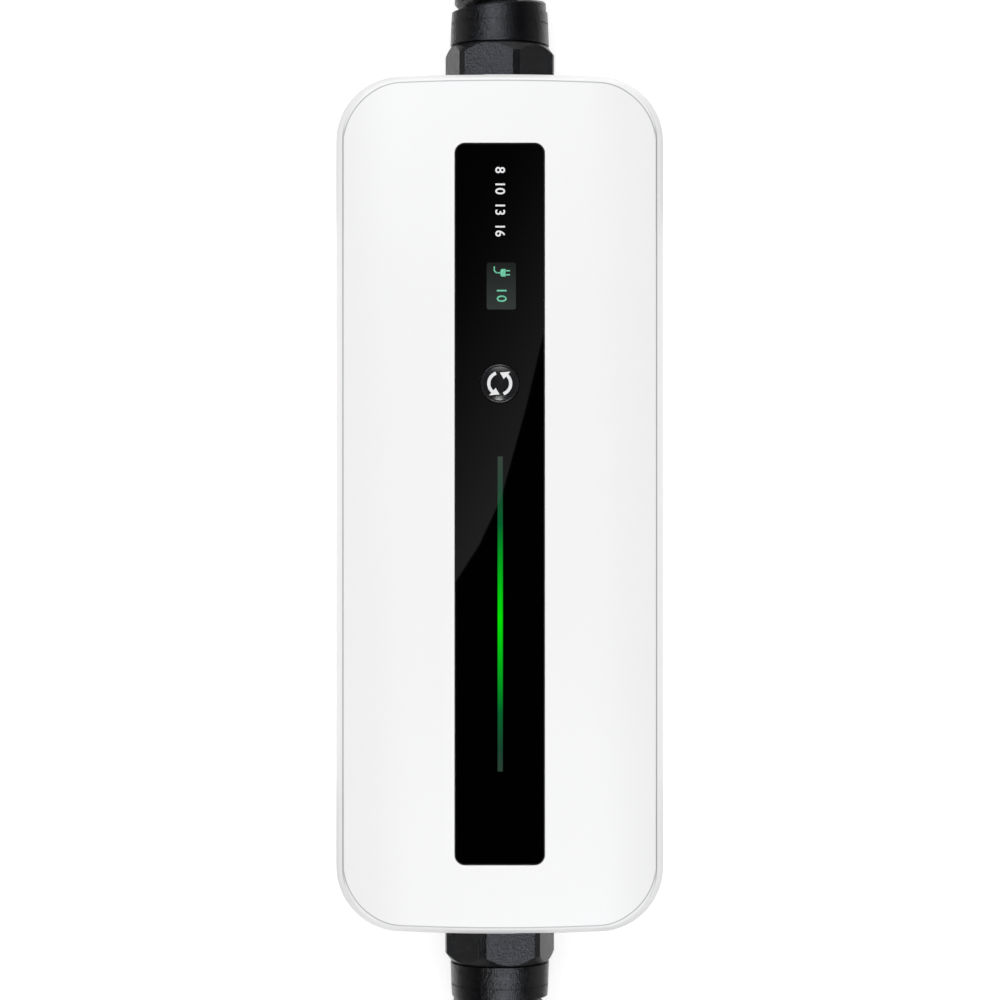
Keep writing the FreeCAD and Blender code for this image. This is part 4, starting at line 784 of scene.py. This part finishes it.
arrows = []
for turn in (20, 200):
    arrows.append(band(RING, RING_WIDTH, turn, turn + SWEEP, 24))
    arrows.append(arrow_head(RING, turn + SWEEP, 2.1, 2.6))
mark = sign("button_arrows", arrows, (0.0, BUTTON_Y, 0.0), 0.05)
ball = (EDGE * EDGE + DISH * DISH) / (2 * DISH)
for vertex in mark.vertices:
    away = math.hypot(vertex.co.x, vertex.co.y - BUTTON_Y * MM) / MM
    sunk = DISH - (ball - math.sqrt(ball * ball - away * away))
    vertex.co.z += (BUTTON_TOP - sunk + 0.002) * MM
mesh_piece("button_arrows", mark, "button", print_white)
print("dish cut with a ball of", round(ball, 1), "mm radius")

# %% [markdown]
# Small things in rows are made by a node tree: one stitch, one rib, and a line that
# says where the next goes. Its sizes are inputs with names, so another row is the same
# tree with other numbers.

# %% Helpers for rows
def tree_input(group, name, kind, value):
    """A named input of a node tree, with the value it starts from."""
    socket = group.interface.new_socket(name, in_out="INPUT", socket_type=kind)
    socket.default_value = value


def row_group(name, material):
    """Rounded bars in a row, every size a named input."""
    group = bpy.data.node_groups.new(name, "GeometryNodeTree")
    group.interface.new_socket("Geometry", in_out="OUTPUT", socket_type="NodeSocketGeometry")
    tree_input(group, "Count", "NodeSocketInt", 5)
    for size in ("Pitch", "Length", "Width", "Height"):
        tree_input(group, size, "NodeSocketFloat", 0.001)
    sizes = add(group, "NodeGroupInput")
    step = add(group, "ShaderNodeCombineXYZ", {"Y": sizes.outputs["Pitch"]})
    line = add(group, "GeometryNodeMeshLine", {
        "Count": sizes.outputs["Count"], "Offset": step.outputs["Vector"],
    })
    extent = add(group, "ShaderNodeCombineXYZ", {
        "X": sizes.outputs["Length"], "Y": sizes.outputs["Width"], "Z": sizes.outputs["Height"],
    })
    ball = add(group, "GeometryNodeMeshUVSphere", {"Segments": 12, "Rings": 8, "Radius": 0.5})
    shaped = add(group, "GeometryNodeTransform", {
        "Geometry": ball.outputs["Mesh"], "Scale": extent.outputs["Vector"],
    })
    spread = add(group, "GeometryNodeInstanceOnPoints", {
        "Points": line.outputs["Mesh"], "Instance": shaped.outputs["Geometry"],
    })
    solid = add(group, "GeometryNodeRealizeInstances", {"Geometry": spread.outputs["Instances"]})
    finish = add(group, "GeometryNodeSetMaterial", {
        "Geometry": solid.outputs["Geometry"], "Material": material,
    })
    add(group, "NodeGroupOutput", {"Geometry": finish.outputs["Geometry"]})
    return group


def row_mesh(name, group, **sizes):
    """The plain mesh of a row, its inputs set by name."""
    holder = bpy.data.objects.new(name, bpy.data.meshes.new(name))
    bpy.context.scene.collection.objects.link(holder)
    modifier = holder.modifiers.new("row", "NODES")
    modifier.node_group = group
    for item in group.interface.items_tree:
        if item.in_out == "INPUT" and item.name in sizes:
            modifier[item.identifier] = sizes[item.name]
    return baked(holder)


print("row helpers ready")

# %% [markdown]
# The legs of the strap are sewn together on both sides of the hank, with two rows of
# nine stitches at each place. The thread is a twisted polyester, a little lighter than
# the strap.

# %% Thread
stitch_thread, tree, shader = new_material("stitch_polyester_thread")
place = add(tree, "ShaderNodeTexCoord").outputs["Object"]
twist = add(tree, "ShaderNodeTexWave", {"Vector": place, "Scale": 900.0, "Distortion": 2.0})
tone = add(tree, "ShaderNodeMix", {
    "Factor": twist.outputs["Fac"], "A": ink("#3A3A3D"), "B": ink("#59595D"),
}, data_type="RGBA")
feed(tree, shader, {"Base Color": result(tone), "Roughness": 0.7})
print("thread:", stitch_thread.name)

# %% [markdown]
# The same tree makes each row, which is turned along the strap and put in its place.
# The four rows are then joined to one piece.

# %% Stitches of the strap
STITCHES, STITCH_PITCH = 9, 2.6
HALF_ROW = (STITCHES - 1) * STITCH_PITCH / 2
SEWN_AT, ROW_AT = 43.05, 6.4  # along the strap and off its middle

stitch_row = row_group("stitch_row", stitch_thread)
strap_low, strap_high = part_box("hank_ties")
strap_middle = (strap_low[1] + strap_high[1]) / 2
stitches = []
for side in (-1, 1):
    for edge in (-ROW_AT, ROW_AT):
        mesh = row_mesh(
            "stitches", stitch_row, Count=STITCHES, Pitch=STITCH_PITCH * MM,
            Length=0.5 * MM, Width=1.9 * MM, Height=0.35 * MM,
        )
        start = (side * SEWN_AT * MM - HALF_ROW * MM, strap_middle + edge * MM, strap_high[2])
        mesh.transform(Matrix.Translation(start) @ Matrix.Rotation(-math.pi / 2, 4, "Z"))
        stitches.append(mesh)
joined = bmesh.new()
for mesh in stitches:
    joined.from_mesh(mesh)
    bpy.data.meshes.remove(mesh)
stitch_mesh = bpy.data.meshes.new("strap_stitches")
joined.to_mesh(stitch_mesh)
joined.free()
mesh_piece("strap_stitches", stitch_mesh, "charger", stitch_thread)
print("stitches:", 4 * STITCHES, "in 4 rows")

# %% [markdown]
# The grip of a connector has ribs across its back, so that a wet hand doesn't slip.
# They follow the swell of the handle, which is a rule: a radius that rises to the
# middle and falls again. The tree starts with a point for each rib and the share of
# the full radius that the handle has there.

# %% Ribs: their places along the handle
rib_tree = bpy.data.node_groups.new("grip_ribs", "GeometryNodeTree")
rib_tree.interface.new_socket("Geometry", in_out="OUTPUT", socket_type="NodeSocketGeometry")
tree_input(rib_tree, "Count", "NodeSocketInt", 9)
for size in ("Start", "Pitch", "Middle", "Swell", "Taper", "Thickness", "Half Angle"):
    tree_input(rib_tree, size, "NodeSocketFloat", 0.001)
sizes = add(rib_tree, "NodeGroupInput").outputs
first = add(rib_tree, "ShaderNodeCombineXYZ", {"Y": sizes["Start"]})
step = add(rib_tree, "ShaderNodeCombineXYZ", {"Y": sizes["Pitch"]})
stations = add(rib_tree, "GeometryNodeMeshLine", {
    "Count": sizes["Count"], "Start Location": first.outputs["Vector"],
    "Offset": step.outputs["Vector"],
})
where = add(rib_tree, "ShaderNodeSeparateXYZ", {
    "Vector": add(rib_tree, "GeometryNodeInputPosition").outputs["Position"],
})
off = add(rib_tree, "ShaderNodeMath", {
    0: where.outputs["Y"], 1: sizes["Middle"],
}, operation="SUBTRACT")
off = add(rib_tree, "ShaderNodeMath", {0: off.outputs[0]}, operation="ABSOLUTE")
loss = add(rib_tree, "ShaderNodeMath", {
    0: off.outputs[0], 1: sizes["Taper"],
}, operation="MULTIPLY")
reach = add(rib_tree, "ShaderNodeMath", {
    0: sizes["Swell"], 1: loss.outputs[0],
}, operation="SUBTRACT")
scale = add(rib_tree, "ShaderNodeMath", {
    0: reach.outputs[0], 1: sizes["Swell"],
}, operation="DIVIDE")
print("rib tree so far:", len(rib_tree.nodes), "nodes")

# %% [markdown]
# One rib is half a hoop over the back of the handle, with a round section.

# %% Ribs: one half hoop
full = add(rib_tree, "ShaderNodeMath", {
    0: sizes["Half Angle"], 1: 2.0,
}, operation="MULTIPLY")
low = add(rib_tree, "ShaderNodeMath", {
    0: math.pi / 2, 1: sizes["Half Angle"],
}, operation="SUBTRACT")
hoop = add(rib_tree, "GeometryNodeCurveArc", {
    "Resolution": 25, "Radius": sizes["Swell"], "Start Angle": low.outputs[0],
    "Sweep Angle": full.outputs[0],
})
upright = add(rib_tree, "GeometryNodeTransform", {
    "Geometry": hoop.outputs["Curve"], "Rotation": (math.pi / 2, 0.0, 0.0),
})
profile = add(rib_tree, "GeometryNodeCurvePrimitiveCircle", {
    "Resolution": 8, "Radius": sizes["Thickness"],
})
rib = add(rib_tree, "GeometryNodeCurveToMesh", {
    "Curve": upright.outputs["Geometry"], "Profile Curve": profile.outputs["Curve"],
    "Fill Caps": True,
})
print("rib tree so far:", len(rib_tree.nodes), "nodes")

# %% [markdown]
# A copy of the rib goes to each point, scaled to the radius there. The row is then
# turned with the handle, which lies slantwise on the hank with its nose a little up.

# %% Ribs: set out and put on the grip
spread = add(rib_tree, "GeometryNodeInstanceOnPoints", {
    "Points": stations.outputs["Mesh"], "Instance": rib.outputs["Mesh"],
    "Scale": add(rib_tree, "ShaderNodeCombineXYZ", {
        "X": scale.outputs[0], "Y": 1.0, "Z": scale.outputs[0],
    }).outputs["Vector"],
})
solid = add(rib_tree, "GeometryNodeRealizeInstances", {
    "Geometry": spread.outputs["Instances"],
})
finish = add(rib_tree, "GeometryNodeSetMaterial", {
    "Geometry": solid.outputs["Geometry"], "Material": finishes["connector_black"],
})
add(rib_tree, "NodeGroupOutput", {"Geometry": finish.outputs["Geometry"]})
ribs = row_mesh(
    "grip_ribs", rib_tree, Count=9, Start=56 * MM, Pitch=5.2 * MM, Middle=73.9 * MM,
    Swell=18.5 * MM, Taper=0.046, Thickness=1.0 * MM, **{"Half Angle": math.radians(62)},
)
ribs.transform(
    Matrix.Translation((-47.2 * MM, -380 * MM, 60.2 * MM))
    @ Matrix.Rotation(math.radians(-13), 4, "Z") @ Matrix.Rotation(math.radians(8), 4, "X")
)
mesh_piece("grip_ribs", ribs, "charger", finishes["connector_black"])
print("ribs:", len(ribs.polygons), "faces")

# %% [markdown]
# The box lies on a white table. A plain white floor would turn grey in the picture, so
# this one also glows a little, but only for rays from the camera, from gloss or through
# clear pieces. It keeps the shadow under the box and lights nothing by itself.

# %% Floor
FLOOR_HALF, FLOOR_Z = 6.0, -0.0002
FLOOR_GLOW = 0.45


def plane(name, corners, material):
    """A flat piece of the stage, which is no part of the object."""
    mesh = bpy.data.meshes.new(name)
    mesh.from_pydata(corners, [], [tuple(range(len(corners)))])
    mesh.materials.append(material)
    thing = bpy.data.objects.new(name, mesh)
    bpy.context.scene.collection.objects.link(thing)
    return thing


def oblong(low_x, low_y, high_x, high_y):
    """The four corners of an oblong, going round it."""
    return [(low_x, low_y), (high_x, low_y), (high_x, high_y), (low_x, high_y)]


def seen_by_lens(tree):
    """One for rays from the camera, from gloss and through clear pieces."""
    path = add(tree, "ShaderNodeLightPath")
    seen = path.outputs["Is Camera Ray"]
    for kind in ("Is Glossy Ray", "Is Transmission Ray"):
        seen = add(tree, "ShaderNodeMath", {
            0: seen, 1: path.outputs[kind],
        }, operation="MAXIMUM").outputs[0]
    return seen


floor_white, tree, shader = new_material("floor_white")
glow = add(tree, "ShaderNodeMath", {
    0: seen_by_lens(tree), 1: FLOOR_GLOW,
}, operation="MULTIPLY")
feed(tree, shader, {
    "Base Color": ink("#F4F4F4"), "Roughness": 0.9, "Specular IOR Level": 0.0,
    "Emission Color": ink("#FFFFFF"), "Emission Strength": glow.outputs[0],
})
floor_corners = oblong(-FLOOR_HALF, -FLOOR_HALF, FLOOR_HALF, FLOOR_HALF)
plane("floor", [(*corner, FLOOR_Z) for corner in floor_corners], floor_white)
print("floor:", 2 * FLOOR_HALF, "m wide")

# %% [markdown]
# Plain soft light comes from a white room, which needs no walls: the world behind all
# things is enough. Those same rays see it at full strength, and all others find it a
# little dimmer, so that the lamps have something to add.

# %% Room
AMBIENT = 0.72
world = bpy.data.worlds.new("room")
bpy.context.scene.world = world
world.use_nodes = True
tree = world.node_tree
tree.nodes.clear()
strength = add(tree, "ShaderNodeMath", {
    0: seen_by_lens(tree), 1: 1 - AMBIENT, 2: AMBIENT,
}, operation="MULTIPLY_ADD")
room = add(tree, "ShaderNodeBackground", {
    "Color": ink("#FFFFFF"), "Strength": strength.outputs[0],
})
add(tree, "ShaderNodeOutputWorld", {"Surface": room.outputs["Background"]})
print("room:", AMBIENT, "of full strength for the light that falls on things")

# %% [markdown]
# A large softbox hangs overhead. Two low and narrow ones lie beyond the ends of the box
# and light the upright faces of the glands. Gloss shows none of them: the cards in the
# next cells are there for that.

# %% Lamps
ENDS = (("far", 1), ("near", -1))


def lamp(name, place, aim, size, power):
    """A softbox at a place, turned to face its aim, that gloss doesn't show."""
    data = bpy.data.lights.new(name, "AREA")
    data.shape = "RECTANGLE"
    data.size, data.size_y = size
    data.energy = power
    thing = bpy.data.objects.new(name, data)
    thing.location = place
    thing.rotation_euler = (Vector(aim) - Vector(place)).to_track_quat("-Z", "Y").to_euler()
    thing.visible_glossy = False
    bpy.context.scene.collection.objects.link(thing)


lamp("softbox_overhead", (-0.1, 0.05, 1.6), (0, 0, 0.03), (1.5, 1.5), 8.4)
for name, turn in ENDS:
    place, aim = (0, turn * 1.0, 0.07), (0, turn * 0.1, 0.05)
    lamp("softbox_end_" + name, place, aim, (1.2, 0.1), 2.6)
print("lamps:", len(bpy.data.lights))

# %% [markdown]
# Dark gloss shows what stands round it, so the studio is drawn with cards, as a
# product photographer does with black flags and small panels. The cards are seen by
# gloss alone and light nothing. The ceiling is dark, with a black flag standing at
# each side. A panel and a spot draw the dish of the button.

# %% Cards over the whole box
CEILING = 1.40
SIDE, FOOT, HALF_LONG = 0.8, 0.1, 1.4  # of the flags at the sides


def card(name, corners, height, strength):
    """A flat stage piece that only reflections see, its corners level or free."""
    material, tree, shader = new_material(name)
    feed(tree, shader, {
        "Base Color": ink("#000000"), "Roughness": 1.0, "Specular IOR Level": 0.0,
        "Emission Color": ink("#FFFFFF"), "Emission Strength": strength,
    })
    thing = plane(name, [(*corner, height)[:3] for corner in corners], material)
    for ray in ("camera", "diffuse", "shadow", "transmission", "volume_scatter"):
        setattr(thing, "visible_" + ray, False)
    return tree, shader


card("ceiling_dark", oblong(-1.3, -1.3, 1.3, 1.3), CEILING + 0.02, 0.0)
card("panel_low", oblong(-0.45, -0.85, 0.45, -0.27), CEILING, 5.0)
card("spot", oblong(-0.06, 0.43, 0.10, 0.60), CEILING - 0.01, 14.0)
for name, turn in ENDS:
    flag = oblong(-HALF_LONG, FOOT, HALF_LONG, CEILING)
    card("flag_" + name, [(turn * SIDE, y, z) for y, z in flag], 0.0, 0.0)
print("cards over the box hang at", CEILING, "m")

# %% [markdown]
# A small cool panel hangs over each gland and draws the light along its crown. Three
# low flags lie on the floor round it. They darken its right side, the left of its nut
# by half and the left of its collar more. One end is the other turned half round.

# %% Panels and flags of the glands
PANEL_Z, FLAG_Z = 0.25, 0.0004
low_flags = (
    ("right", oblong(0.06, 0.08, 0.5, 0.5), 0.0),
    ("left_nut", oblong(-0.5, 0.08, -0.03, 0.15), 0.5),
    ("left_collar", oblong(-0.5, 0.15, -0.03, 0.5), 0.15),
)
for name, turn in ENDS:
    panel = [(turn * x, turn * y) for x, y in oblong(-0.17, 0.125, 0.02, 0.31)]
    tree, shader = card("gland_panel_" + name, panel, PANEL_Z, 4.0)
    feed(tree, shader, {"Emission Color": ink("#EDF3FF")})
    for side, shape, dim in low_flags:
        low_flag = [(turn * x, turn * y) for x, y in shape]
        card("low_flag_" + side + "_" + name, low_flag, FLAG_Z, dim)
print("cards round the glands:", 2 * (1 + len(low_flags)))

# %% [markdown]
# A dim panel with a slanting edge hangs over the strip. Its edge is set out on the
# strip, in millimetres, where the reflection is to end. The lens and the ceiling are
# at different heights over the strip, and the ratio carries the edge up to the ceiling.
# From almost nothing over the mains end the panel brightens to that edge.

# %% Slanting panel over the strip
LEFT_EDGE, MAINS_EDGE = -0.09, 0.27
SLOPE, OFFSET = (6.22, -3.44, 0.0), 1.015  # how the panel brightens over X and Y
BRIGHT, DIMMEST = 0.33, 0.012

eye, strip = EYE_HEIGHT * MM, LENS_TOP * MM
ratio = 1 + (CEILING - strip) / (eye - strip)
edge_on_strip = (
    (14.5, 58.0), (12.2, 47.3), (6.8, 24.5), (0.3, 1.0), (-5.5, -11.5), (-11.6, -21.0),
    (-16.0, -27.0),
)
slant = [(x * MM * ratio, y * MM * ratio) for x, y in edge_on_strip]
slant += [(LEFT_EDGE, slant[-1][1]), (LEFT_EDGE, MAINS_EDGE), (slant[0][0], MAINS_EDGE)]
tree, shader = card("slanting_panel", slant, CEILING, 0.0)
place = add(tree, "ShaderNodeTexCoord").outputs["Object"]
share = add(tree, "ShaderNodeVectorMath", {0: place, 1: SLOPE}, operation="DOT_PRODUCT")
share = add(tree, "ShaderNodeMath", {
    0: share.outputs["Value"], 1: OFFSET,
}, operation="ADD")
share = add(tree, "ShaderNodeMath", {0: share.outputs[0], 1: 2.0}, operation="POWER")
dim = add(tree, "ShaderNodeMath", {
    0: share.outputs[0], 1: BRIGHT, 2: DIMMEST,
}, operation="MULTIPLY_ADD")
feed(tree, shader, {"Emission Strength": dim.outputs[0]})
print("slanting panel:", len(slant), "corners, enlarged", round(ratio, 3), "times")

# %% [markdown]
# The picture keeps plain colours, without a film look.

# %% Plain colours
bpy.context.scene.view_settings.view_transform = "Standard"
